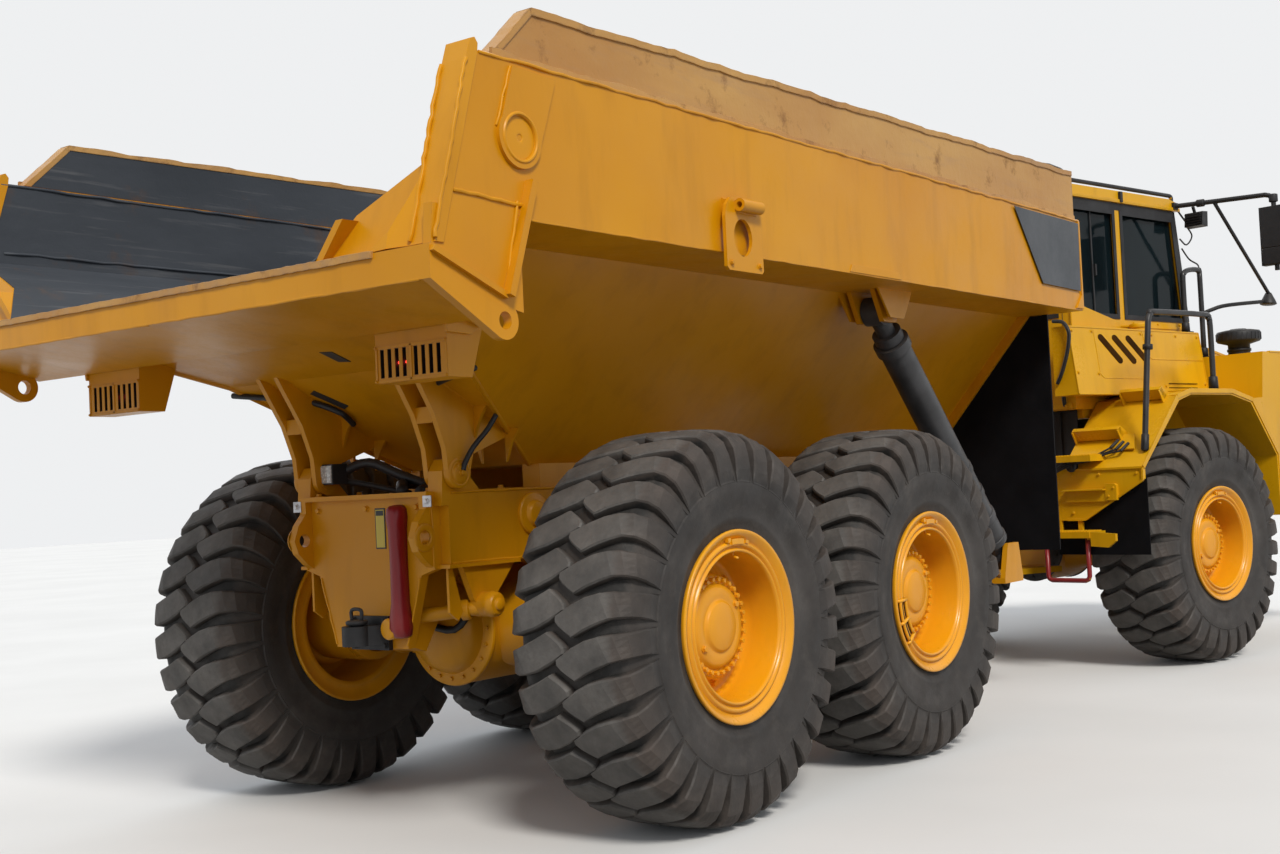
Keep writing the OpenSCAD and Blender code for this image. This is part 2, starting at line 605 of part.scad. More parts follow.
module lock_bar() {
    // Half of its outline from behind, as [height, half width], bulbous at both ends
    half = [[806, 20], [818, 38], [850, 46], [892, 42], [950, 33], [1150, 31], [1250, 34], [1300, 40], [1335, 36], [1352, 18]];
    color("darkred") {
        cross_plate(tail_x - 96, tail_x - 40, [for (h = half) [lock_y - h[1], h[0]],
            for (i = [len(half) - 1:-1:0]) [lock_y + half[i][1], half[i][0]]]);
        cross_plate(tail_x - 112, tail_x - 95, [for (h = half) [lock_y - h[1] + 14, h[0] + (1080 - h[0]) * 0.05],
            for (i = [len(half) - 1:-1:0]) [lock_y + half[i][1] - 14, half[i][0] + (1080 - half[i][0]) * 0.05]]);
    }
}

// Hoist: the cylinders lie between the foot pins and the rod eyes
foot = [foot_x, hoist_foot_z];
eye = [eye_x, hoist_eye_z];
hoist_len = span(foot, eye);
module at_hoist() { both_sides() translate([0, hoist_y, 0]) children(); }
module hoist_barrels() {
    color("black") at_hoist() difference() {
        union() {
            bar(foot, eye, 60, 151, eye_half - 3);
            bar(foot, eye, 150, hoist_len - 200, barrel_r);
            bar(foot, eye, hoist_len - 250, hoist_len - 199, barrel_r + 12);
            y_pin(foot, -eye_half, eye_half, 70);
        }
        bar(foot, eye, 200, hoist_len, sleeve_r + run_fit);
        y_pin(foot, -eye_half - 1, eye_half + 1, hoist_pin_r + run_fit);
    }
}
module hoist_sleeves() {
    color("gray") at_hoist() difference() {
        union() {
            bar(foot, eye, 205, hoist_len - 140, sleeve_r);
            bar(foot, eye, hoist_len - 190, hoist_len - 139, sleeve_r + 10);
        }
        bar(foot, eye, 230, hoist_len, rod_r + run_fit);
    }
}
module hoist_rods() {
    color("silver") at_hoist() {
        bar(foot, eye, 240, hoist_len - 50, rod_r);
        y_pin(eye, -eye_half, eye_half, 72);
    }
}

// Hitch: a yoke that rolls in the rear frame's neck and carries the vertical steering pin
steer_anchor = [940, 380];
steer_eye = [-120, 250];
steer_z = 880;
hitch_low = 640;
hitch_high = 1120;
module hitch_yoke() {
    color(steel) {
        // Roll shaft, flange and nose
        translate([neck_x - 200, 0, steer_z]) rotate([0, 90, 0]) cylinder(h = 220, r = roll_r, $fn = 96);
        translate([neck_x + gap, 0, steer_z]) rotate([0, 90, 0]) cylinder(h = 40, r = roll_r + 60, $fn = 96);
        difference() {
            union() {
                block([neck_x + 40, -110, hitch_low + 40], [0, 110, hitch_high - 40]);
                z_pin([0, 0], hitch_low + 40, hitch_high - 40, 110);
            }
            z_pin([0, 0], hitch_low, hitch_high, steer_pin_r + run_fit);
        }
        // Arms for the steering cylinders
        both_sides() for (side = [-1, 1]) {
            z = steer_z + side * (38 + gap + 12);
            floor_plate(z - 12, z + 12, [[neck_x + 45, 100], [neck_x + 45, 220], [steer_eye[0] - 50, 310],
                [steer_eye[0] + 50, 310], [steer_eye[0] + 60, 200], [-60, 100]]);
        }
        both_sides() for (side = [-1, 1]) {
            z = steer_z + side * (38 + gap + 24);
            z_pin(steer_eye, min(z, z + side * 12), max(z, z + side * 12), 38);
        }
    }
}
function turn2(p, a) = [p[0] * cos(a) - p[1] * sin(a), p[0] * sin(a) + p[1] * cos(a)];
// Steering cylinder in the front unit's frame: it hinges at the frame and its eye meets the yoke's arm
module steer_axis(side) {
    goal = turn2([steer_eye[0], side * steer_eye[1]], -rest_steer);
    base = [steer_anchor[0], side * steer_anchor[1]];
    translate([base[0], base[1], steer_z]) rotate([0, 0, atan2(goal[1] - base[1], goal[0] - base[0])])
        rotate([0, 90, 0]) children();
}
function steer_len(side) = norm(turn2([steer_eye[0], side * steer_eye[1]], -rest_steer)
    - [steer_anchor[0], side * steer_anchor[1]]);
steer_barrel_len = 720;
steer_rod_len = 690;
module steer_barrel(side) {
    color("black") difference() {
        steer_axis(side) {
            translate([0, 0, 30]) cylinder(h = 51, r = 36, $fn = 64);
            translate([0, 0, 80]) cylinder(h = steer_barrel_len - 80, r = steer_barrel_r, $fn = 64);
            rotate([0, 90, 0]) cylinder(h = 76, r = 60, center = true, $fn = 64);
        }
        steer_axis(side) {
            translate([0, 0, 110]) cylinder(h = steer_barrel_len, r = 34 + run_fit, $fn = 64);
            rotate([0, 90, 0]) cylinder(h = 80, r = 32 + run_fit, center = true, $fn = 64);
        }
    }
}
module steer_rod(side) {
    color("silver") steer_axis(side) {
        translate([0, 0, steer_len(side) - steer_rod_len]) cylinder(h = steer_rod_len - 30, r = 34, $fn = 64);
        translate([0, 0, steer_len(side)]) rotate([0, 90, 0]) cylinder(h = 76, r = 55, center = true, $fn = 64);
    }
}

// Front frame: rails from the hitch ears to the bumper
module front_frame() {
    color(steel) {
        both_sides() {
            side_plate(front_rail_half - 50, front_rail_half, [[780, front_rail_top],
                [rail_end_x, front_rail_top], [rail_end_x, 1060], [2100, 1060], [1600, front_rail_low],
                [780, front_rail_low]]);
            // Cab cradle
            for (x = [640, 1830]) {
                block([x + 160, front_rail_half - 50, front_rail_top - 1],
                    [x + 240, front_rail_half, cab_floor - 40]);
                block([x, front_rail_half - 50, cab_floor - 60], [x + 240, cab_half - 30, cab_floor - seat_gap]);
            }
            // Fender brackets
            for (x = [700, 2060]) block([x, front_rail_half - 1, 1140], [x + 80, fender_in, front_rail_top]);
            // Pins of the steering cylinders
            z_pin(steer_anchor, steer_z - 70, steer_z + 70, 32);
            for (z = [steer_z - 55, steer_z + 55])
                floor_plate(z - 12, z + 12, [[890, 340], [1012, 310], [1012, 450], [960, 440], [890, 420]]);
            block([1010, 310, steer_z - 67], [1030, 450, front_rail_low + 1]);
        }
        // Ears above and below the yoke
        for (z = [hitch_high - 35 + gap, hitch_low - 5 - gap]) {
            floor_plate(z, z + 40, [[0, -130], [800, -front_rail_half + 20], [800, front_rail_half - 20], [0, 130]]);
            z_pin([0, 0], z, z + 40, 130);
        }
        z_pin([0, 0], hitch_low - 20, hitch_high + 20, steer_pin_r);
        block([780, -260, hitch_low - 10], [830, 260, front_rail_top]);
        block([780, -360, 1060], [830, 360, front_rail_top]);
        for (x = [1700, 2700, 3600]) block([x - 50, -360, 1080], [x + 50, 360, 1210]);
    }
}
rail_end_x = nose_x - 180 - seat_gap;
front_rail_low = 1010;
front_rail_top = 1230;
module front_axle() {
    color(steel) {
        axle_body(hitch_to_front_axle, axle_z);
        // Spring seats under the front rails
        both_sides() z_pin([hitch_to_front_axle, front_rail_half - 25], axle_z, front_rail_low, 70);
    }
}
module engine() {
    color("dimgray") {
        block([2150, -330, 1240], [3300, 330, 1750]);
        // Feet on the rails
        both_sides() for (x = [2300, 3050]) block([x, 320, front_rail_top], [x + 120, front_rail_half, 1310]);
    }
}

// Cab: floor, posts and roof as separate panels, windows cut through
cab_top_front = 1920;
post_x = [1120, 1190];
module cab_outline(low, high) {
    polygon([[cab_rear, low], [cab_front, low], [cab_front, sill_z],
        [cab_front + (cab_top_front - cab_front) * (high - sill_z) / (roof_z - 80 - sill_z), high], [cab_rear, high]]);
}
module cab_block(inset, low, high) {
    translate([0, cab_half - inset, 0]) rotate([90, 0, 0]) linear_extrude(2 * (cab_half - inset))
        offset(delta = -inset) cab_outline(low, high);
}
cab_eave = roof_z - 80;
door_rear = post_x[1] + 10;
door_front = cab_front - 70;
door_low = cab_floor + 100;
door_pin = [door_rear - 20, cab_half + 22];
hinge_z = [cab_floor + 220, roof_z - 418];
module door_hole(grow) {
    translate([0, cab_half + 1, 0]) rotate([90, 0, 0]) linear_extrude(cab_t + 2) offset(delta = grow)
        polygon([[door_rear, door_low], [door_front, door_low], [door_front, sill_z], [door_front - 95, cab_eave - 70],
        [door_rear, cab_eave - 70]]);
}
module cab_frame() {
    // Hinge pins of the door between their brackets
    color(steel) for (z = hinge_z) {
        z_pin(door_pin, z - 30, z + 110, 8);
        for (low = [z - 30, z + 85]) block([door_pin[0] - 14, cab_half - 1, low], [door_pin[0] + 10, cab_half + 36, low + 25]);
    }
    color(steel) difference() {
        cab_block(0, cab_floor, cab_eave);
        cab_block(cab_t, cab_floor, cab_eave + 2 * cab_t);
        // Right side windows
        side_plate(-cab_half - 1, -cab_half + cab_t + 1, [[cab_rear + 70, sill_z], [post_x[0], sill_z],
            [post_x[0], cab_eave - 70], [cab_rear + 70, cab_eave - 70]]);
        side_plate(-cab_half - 1, -cab_half + cab_t + 1, [[post_x[1], sill_z], [door_front, sill_z],
            [door_front - 95, cab_eave - 70], [post_x[1], cab_eave - 70]]);
        // Left rear window and door opening
        side_plate(cab_half - cab_t - 1, cab_half + 1, [[cab_rear + 70, sill_z], [post_x[0], sill_z],
            [post_x[0], cab_eave - 70], [cab_rear + 70, cab_eave - 70]]);
        door_hole(door_gap);
        // Windscreen and rear window
        cross_plate(cab_top_front - 200, cab_front + 1, [[-cab_half + 75, sill_z - 60], [cab_half - 75, sill_z - 60],
            [cab_half - 75, cab_eave - 70], [-cab_half + 75, cab_eave - 70]]);
        cross_plate(cab_rear - 1, cab_rear + cab_t + 1, [[-cab_half + 110, sill_z], [cab_half - 110, sill_z],
            [cab_half - 110, cab_eave - 90], [-cab_half + 110, cab_eave - 90]]);
    }
}
module cab_roof() {
    color(steel) {
        side_plate(-cab_half - 10, cab_half + 10, [[cab_rear - 20, cab_eave], [cab_top_front + 60, cab_eave],
            [cab_top_front + 40, roof_z - 20], [cab_top_front - 60, roof_z], [cab_rear + 20, roof_z],
            [cab_rear - 20, roof_z - 25]]);
    }
    color("black") for (y = [-cab_half + 20, cab_half - 20])
        tube([[cab_rear + 40, y, roof_z - 5], [cab_rear + 40, y, roof_z + 35], [cab_top_front + 20, y, roof_z + 35],
            [cab_top_front + 20, y, roof_z - 18]], 14, 30);
}
module pane_side(y, x0, x1, slant) {
    side_plate(y - glass_t / 2, y + glass_t / 2, [[x0, sill_z], [x1, sill_z], [x1 - slant, cab_eave - 70],
        [x0, cab_eave - 70]]);
}
module cab_glass() {
    color([0.1, 0.12, 0.14, 0.6]) {
        pane_side(cab_half - cab_t / 2, cab_rear + 70, post_x[0], 0);
        pane_side(-cab_half + cab_t / 2, cab_rear + 70, post_x[0], 0);
        pane_side(-cab_half + cab_t / 2, post_x[1], door_front, 95);
        cross_plate(cab_rear + 20, cab_rear + 20 + glass_t, [[-cab_half + 110, sill_z], [cab_half - 110, sill_z],
            [cab_half - 110, cab_eave - 90], [-cab_half + 110, cab_eave - 90]]);
        slope = (cab_front - cab_top_front) / (cab_eave - sill_z);
        side_plate(-cab_half + 75, cab_half - 75, [[cab_front - 30, sill_z - 60], [cab_front - 22, sill_z - 60],
            [cab_front - 22, sill_z], [cab_front - 22 - slope * (cab_eave - 70 - sill_z), cab_eave - 70],
            [cab_front - 30 - slope * (cab_eave - 70 - sill_z), cab_eave - 70], [cab_front - 30, sill_z]]);
    }
}
module seat() {
    color("dimgray") {
        block([900, -180, cab_floor + cab_t], [1250, 180, 2020]);
        block([860, -260, 2020], [1370, 260, 2150]);
        side_plate(-250, 250, [[860, 2150], [960, 2150], [900, 2780], [800, 2780]]);
    }
}
module dashboard() {
    color("dimgray") {
        side_plate(-500, 500, [[1700, cab_floor + cab_t], [1990, cab_floor + cab_t], [1990, 2360], [1780, 2330]]);
        translate([1560, 0, 2430]) rotate([0, -25, 0]) rotate_extrude($fn = 48) translate([190, 0]) circle(16, $fn = 16);
        tube([[1560, 0, 2430], [1800, 0, 2300]], 30);
        tube([[1560 - 8, -190, 2430], [1560 - 8, 190, 2430]], 14);
    }
}
module door() {
    color(steel) {
        difference() {
            door_hole(0);
            side_plate(cab_half - cab_t - 2, cab_half + 2, [[door_rear + 70, 2050], [door_front - 70, 2050],
                [door_front - 70, sill_z], [door_front - 70 - 85, cab_eave - 140], [door_rear + 70, cab_eave - 140]]);
        }
        // Hinge knuckles
        for (z = hinge_z) difference() {
            union() {
                z_pin(door_pin, z, z + 80, 16);
                floor_plate(z, z + 80, [[door_pin[0], cab_half + 14], [door_rear + 20, cab_half + 6],
                    [door_rear + 20, cab_half - 10], [door_rear + 60, cab_half - 10], [door_rear + 60, cab_half + 14],
                    [door_pin[0], cab_half + 30]]);
            }
            z_pin(door_pin, z - 1, z + 81, 8 + run_fit);
        }
    }
}
module door_glass() {
    color([0.1, 0.12, 0.14, 0.6]) side_plate(cab_half - cab_t / 2 - glass_t / 2, cab_half - cab_t / 2 + glass_t / 2,
        [[door_rear + 70, 2050], [door_front - 70, 2050], [door_front - 70, sill_z],
        [door_front - 70 - 85, cab_eave - 140], [door_rear + 70, cab_eave - 140]]);
}

hood_rear_x = cab_front + 40;
module hood_shape(inset) {
    side_plate(-hood_half + inset, hood_half - inset, [[hood_rear_x - (inset > 0 ? 50 : 0), 1800 - inset],
        [hood_rear_x - (inset > 0 ? 50 : 0), hood_rear_z - inset], [2900, 2180 - inset],
        [nose_x - 150, hood_nose_z + 60 - inset], [nose_x - 30 - inset, hood_nose_z - 40],
        [nose_x - 30 - inset, hood_hinge_z - inset]]);
}
hood_pin = [nose_x - 45, hood_hinge_z - 40];
hood_pin_r = 16;
grille_half = hood_half - 70;
grille_top = hood_hinge_z - 30;
module hood() {
    color(steel) {
        difference() { hood_shape(0); hood_shape(skin_t); }
        // Hinge arms below the side walls
        both_sides() difference() {
            side_plate(hood_half - skin_t, hood_half, [[hood_pin[0] - 26, hood_pin[1] - 30],
                [hood_pin[0] + 14, hood_pin[1] - 30], [hood_pin[0] + 14, hood_hinge_z + 20],
                [hood_pin[0] - 100, hood_hinge_z + 40]]);
            y_pin(hood_pin, hood_half - skin_t - 1, hood_half + 1, hood_pin_r + run_fit);
        }
    }
}
module grille() {
    color("dimgray") difference() {
        side_plate(-grille_half, grille_half, [[nose_x - 130, bumper_top + seat_gap],
            [nose_x - 60, bumper_top + seat_gap], [nose_x - 40, grille_top], [nose_x - 130, grille_top]]);
        for (i = [0:8]) block([nose_x - 90, 60 - grille_half, 1270 + i * 32], [nose_x, grille_half - 60, 1286 + i * 32]);
    }
    // Hinge ears and pins of the hood
    color("dimgray") both_sides() {
        side_plate(grille_half - 26, grille_half, [[nose_x - 130, grille_top - 90], [nose_x - 50, grille_top - 90],
            [hood_pin[0] + 24, hood_pin[1] + 20], [hood_pin[0] - 40, hood_pin[1] + 20]]);
        y_pin(hood_pin, grille_half - 20, hood_half + 6, hood_pin_r);
    }
}
bumper_top = 1235;
module bumper() {
    color(steel) side_plate(-bumper_half, bumper_half, [[nose_x - 180, bumper_top], [nose_x, bumper_top], [nose_x, 1060],
        [nose_x - 60, 1000], [nose_x - 270, 960], [nose_x - 270, 1055], [nose_x - 180, 1060]]);
}

// Fenders: an arch of flat plates over each front wheel, points as [x from the axle, z]
arch = [[-870, 1350], [-420, 1775], [-265, 1815], [260, 1815], [530, 1760], [860, 1380], [870, 950]];
arch_outer = [[-905, 1350], [-445, 1805], [-275, 1845], [270, 1845], [555, 1785], [890, 1395], [900, 950]];
function arch_at(list) = [for (p = list) [p[0] + hitch_to_front_axle, p[1]]];
function back(list) = [for (i = [len(list) - 1:-1:0]) list[i]];
fender_in = cab_half + 10;
housing_z = 2130;
step_out = 1060;
skirt_x = hitch_to_front_axle - 905;
skirt_low = 1010;
module fenders() {
    color(steel) both_sides() {
        side_plate(fender_in, fender_half, concat(arch_at(arch_outer), back(arch_at(arch))));
        // Inner wall between the wheel and the frame
        side_plate(fender_in, fender_in + skin_t, concat([[skirt_x, 1140]],
            arch_at([for (i = [0:5]) arch_outer[i]]), [[hitch_to_front_axle + 890, 1140]]));
        // Rear skirt with its cut corner
        cross_plate(skirt_x, skirt_x + skin_t, [[fender_in - 110, 1350], [fender_half, 1350],
            [fender_half, 1270], [930, skirt_low], [fender_in - 110, skirt_low]]);
        // Front housing above and ahead of the wheel
        side_plate(hood_half + 30, fender_half - 20, [[cab_front + 20, 1240], [cab_front + 20, housing_z],
            [2400, housing_z], [3300, 1700], [3500, 1400], [3500, 1240]]);
    }
    // Only the right one has a raised shoulder, because the door swings over the left one
    color(steel) mirror([0, 1, 0]) side_plate(fender_in, fender_half - 20, [[1770, 1790], [1950, 1800],
        [1990, housing_z], [cab_front + 21, housing_z], [cab_front + 21, 1400]]);
}
fender_top = 1845;
box_low = fender_top + seat_gap;
box_top = 2310;
function slope_z(x) = arch_outer[0][1] + (x - skirt_x) * (arch_outer[1][1] - arch_outer[0][1])
    / (arch_outer[1][0] - arch_outer[0][0]);
module side_boxes() {
    color(steel) {
        difference() {
            // Tank box beside the cab, its side leaning inwards
            cross_plate(270, 1930, [[-fender_in, box_low], [-fender_in, box_top], [-900, box_top], [-960, box_low]]);
            for (i = [0:2]) side_plate(-1000, -900, [[610 + i * 170, 2245], [655 + i * 170, 2245],
                [850 + i * 170, 2080], [805 + i * 170, 2080]]);
        }
        cross_plate(270, door_rear - 60, [[fender_in, box_low], [fender_in, box_top], [900, box_top], [960, box_low]]);
    }
}
rail_r = 19;
module handrails() {
    color("black") {
        // The left rail ends where the open door swings past
        for (row = [[-1, 1335], [1, 1130]])
            tube([[395, row[0] * 1345, slope_z(395 + rail_r) + 6], [560, row[0] * 1330, 2365],
                [row[1], row[0] * 1330, 2370], [row[1], row[0] * 1330, fender_top + seat_gap]], rail_r);
        // Narrow rail between the box and the front housing
        tube([[1850, -850, box_top + seat_gap], [1850, -850, 2770], [2090, -850, 2800],
            [2090, -850, housing_z + seat_gap]], rail_r);
    }
}
mirror_x = 2030;
mirror_y = 1490;
module mirrors() {
    color("black") for (s = [-1, 1]) {
        block([cab_top_front - 30, s > 0 ? cab_half + 10 + seat_gap : -cab_half - 30, cab_eave + 5],
            [cab_top_front + 30, s > 0 ? cab_half + 30 : -cab_half - 10 - seat_gap, cab_eave + 55]);
        tube([[cab_top_front, s * (cab_half + 22), cab_eave + 30],
            [mirror_x, s * mirror_y, cab_eave + 10], [mirror_x, s * mirror_y, 2700]], 18);
        block([mirror_x - 30, s * mirror_y - 100, 2740], [mirror_x + 30, s * mirror_y + 100, 3160]);
    }
}
module steps() {
    rise = (arch_outer[1][0] - arch_outer[0][0]) / (arch_outer[1][1] - arch_outer[0][1]);
    color(steel) both_sides() {
        // Lower step on two hangers under the skirt
        block([140, fender_in - 100, 900], [skirt_x + skin_t, step_out, 940]);
        for (y = [fender_in - 60, fender_in + 100]) block([skirt_x, y, 900], [skirt_x + skin_t, y + 30, skirt_low]);
        // Upper step on the slope of the arch
        side_plate(fender_in, step_out, [[200, 1400], [200, 1440], [skirt_x + 90 * rise, 1440],
            [skirt_x + 50 * rise, 1400]]);
    }
    color("darkred") both_sides()
        tube([[180, 700, 901], [180, 700, 620], [180, 1020, 620], [180, 1020, 901]], 14, 30);
}
module lamps() {
    // Head lamps on the slope of the front housings, work lamps on the cab's eaves
    slope = [200, -300] / 300;
    base = [3300, 1700] + [seat_gap, seat_gap];
    color("white") both_sides() side_plate(760, 1120, [base + slope * 60, base + slope * 220,
        base + slope * 220 + [40, 27], base + slope * 60 + [40, 27]]);
    color("black") both_sides() block([cab_top_front + 58.7, 560, cab_eave + 5], [cab_top_front + 140, 700, roof_z - 30]);
}
module air_intake() {
    color("black") translate([2220, -1060, 0]) rotate_extrude($fn = 64) polygon([[0, housing_z + seat_gap],
        [78, housing_z + seat_gap], [78, 2215], [150, 2235], [155, 2300], [60, 2322], [0, 2322]]);
}

rear_place() rear_frame();
rear_place() bogie_axles();
rear_place() bogie_beams();
rear_place() tow_coupling();
rear_place() lock_bar();
rear_place() bed();
rear_place() side_boards();
rear_place() lamp_boxes();
rear_place() stone_flaps();
rear_place() hoist_barrels();
rear_place() hoist_sleeves();
rear_place() hoist_rods();
rear_place() hitch_yoke();
front_place() steer_barrel(1);  // steer_barrel_left
front_place() steer_rod(1);  // steer_rod_left
front_place() steer_barrel(-1);  // steer_barrel_right
front_place() steer_rod(-1);  // steer_rod_right
front_place() front_frame();
front_place() front_axle();
front_place() engine();
front_place() cab_frame();
front_place() cab_roof();
front_place() cab_glass();
front_place() seat();
front_place() dashboard();
front_place() door();
front_place() door_glass();
front_place() hood();
front_place() grille();
front_place() bumper();
front_place() fenders();
front_place() side_boxes();
front_place() handrails();
front_place() mirrors();
front_place() steps();
front_place() lamps();
front_place() air_intake();
rear_place() at_wheel(rear_axle_x, 1) tyre();  // tyre_rear_left
rear_place() on_wheel(rear_axle_x, 1) rim();  // rim_rear_left
rear_place() at_wheel(rear_axle_x, -1) tyre();  // tyre_rear_right
rear_place() on_wheel(rear_axle_x, -1) rim();  // rim_rear_right
rear_place() at_wheel(mid_axle_x, 1) tyre();  // tyre_mid_left
rear_place() on_wheel(mid_axle_x, 1) rim();  // rim_mid_left
rear_place() at_wheel(mid_axle_x, -1) tyre();  // tyre_mid_right
rear_place() on_wheel(mid_axle_x, -1) rim();  // rim_mid_right
front_place() at_wheel(hitch_to_front_axle, 1) tyre();  // tyre_front_left
front_place() on_wheel(hitch_to_front_axle, 1) rim();  // rim_front_left
front_place() at_wheel(hitch_to_front_axle, -1) tyre();  // tyre_front_right
front_place() on_wheel(hitch_to_front_axle, -1) rim();  // rim_front_right
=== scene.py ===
import json
import math

import bmesh
import bpy
import numpy as np
from mathutils import Euler, Matrix, Vector


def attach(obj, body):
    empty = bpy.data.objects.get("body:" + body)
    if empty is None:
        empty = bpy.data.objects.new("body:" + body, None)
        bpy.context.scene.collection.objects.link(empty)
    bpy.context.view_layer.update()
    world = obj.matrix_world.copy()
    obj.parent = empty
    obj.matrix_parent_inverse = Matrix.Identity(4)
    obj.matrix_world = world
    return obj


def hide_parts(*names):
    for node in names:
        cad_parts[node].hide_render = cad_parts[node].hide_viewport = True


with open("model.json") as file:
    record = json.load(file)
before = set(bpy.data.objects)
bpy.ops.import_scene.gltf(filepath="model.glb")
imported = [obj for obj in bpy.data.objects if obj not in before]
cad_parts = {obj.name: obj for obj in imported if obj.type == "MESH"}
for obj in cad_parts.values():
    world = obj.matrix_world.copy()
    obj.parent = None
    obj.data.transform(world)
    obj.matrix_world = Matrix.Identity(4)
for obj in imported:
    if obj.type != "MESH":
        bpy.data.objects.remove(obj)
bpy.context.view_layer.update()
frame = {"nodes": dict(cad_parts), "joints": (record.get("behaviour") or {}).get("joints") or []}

RNG = np.random.default_rng(7)
JOINT = {j["name"]: j for j in frame["joints"]}

# Local frames: the rear unit's from the steering axis, the front unit's turned as it is parked
HITCH = Vector(JOINT["steer"]["pos_m"])
HITCH.z = 0.0
HOOD_AXIS = JOINT["hood"]["axis"]
REST = math.atan2(-HOOD_AXIS[0], HOOD_AXIS[1])
REAR = Matrix.Translation(HITCH)
FRONT = REAR @ Matrix.Rotation(REST, 4, "Z")
REAR_AXLE = -4635
MID_AXLE = -2965
FRONT_AXLE = 1210
WHEEL_Y = 1129
AXLE_Z = 800
MM = 0.001
# Radius that closes a revolved profile
TIP = 0.01


# ---------------------------------------------------------------- camera
PHOTO_W = 1280
FOCAL_PX = 1540.2
SHIFT_PX = (-37.8, 10.8)
SENSOR_MM = 36.0
CAM_AT = Vector((REAR_AXLE - 5098, -4885, 1377)) * MM
YAW, PITCH, ROLL = math.radians(36.34), math.radians(1.75), math.radians(-2.81)


def add_object(name, data, place=Matrix.Identity(4)):
    """A new object in the scene's own collection."""
    o = bpy.data.objects.new(name, data)
    bpy.context.scene.collection.objects.link(o)
    o.matrix_world = place
    return o


def make_camera():
    f = Vector((math.cos(PITCH) * math.cos(YAW), math.cos(PITCH) * math.sin(YAW), math.sin(PITCH)))
    right = Vector((math.sin(YAW), -math.cos(YAW), 0.0))
    up = right.cross(f)
    r = math.cos(ROLL) * right + math.sin(ROLL) * up
    u = -math.sin(ROLL) * right + math.cos(ROLL) * up
    m = Matrix((r, u, -f)).transposed().to_4x4()
    m.translation = REAR @ CAM_AT
    cam = add_object("Camera", bpy.data.cameras.new("Camera"), m)
    cam.data.sensor_width = SENSOR_MM
    cam.data.lens = FOCAL_PX / PHOTO_W * SENSOR_MM
    cam.data.shift_x, cam.data.shift_y = (px / PHOTO_W for px in SHIFT_PX)
    cam.data.clip_start, cam.data.clip_end = 0.1, 500.0
    bpy.context.scene.camera = cam


make_camera()


# ---------------------------------------------------------------- materials
class Tree:
    """Short hand for a node tree."""

    def __init__(self, tree):
        self.tree = tree
        tree.nodes.clear()

    def node(self, kind, **values):
        n = self.tree.nodes.new(kind)
        for k, v in values.items():
            setattr(n, k, v)
        return n

    def link(self, a, b):
        self.tree.links.new(a, b)

    def put(self, socket, value):
        if isinstance(value, bpy.types.NodeSocket):
            self.link(value, socket)
        else:
            socket.default_value = value

    def remap(self, value, lo, hi, a=0.0, b=1.0):
        r = self.node("ShaderNodeMapRange")
        r.clamp = True
        self.put(r.inputs["Value"], value)
        r.inputs["From Min"].default_value = lo
        r.inputs["From Max"].default_value = hi
        r.inputs["To Min"].default_value = a
        r.inputs["To Max"].default_value = b
        return r.outputs["Result"]

    def math(self, op, a, b=0.0):
        n = self.node("ShaderNodeMath", operation=op)
        self.put(n.inputs[0], a)
        self.put(n.inputs[1], b)
        return n.outputs[0]

    def times(self, a, b):
        return self.math("MULTIPLY", a, b)

    def in_sight(self):
        """1 for camera, glossy and transmission rays."""
        rays = self.node("ShaderNodeLightPath").outputs
        beyond = self.math("MAXIMUM", rays["Is Glossy Ray"], rays["Is Transmission Ray"])
        return self.math("MAXIMUM", rays["Is Camera Ray"], beyond)

    def mix(self, fac, a, b):
        n = self.node("ShaderNodeMix", data_type="RGBA")
        self.put(n.inputs["Factor"], fac)
        colours = [s for s in n.inputs if s.type == "RGBA"]
        for s, v in zip(colours, (a, b)):
            if isinstance(v, tuple):
                v = (*v[:3], 1.0)
            self.put(s, v)
        return [s for s in n.outputs if s.type == "RGBA"][0]


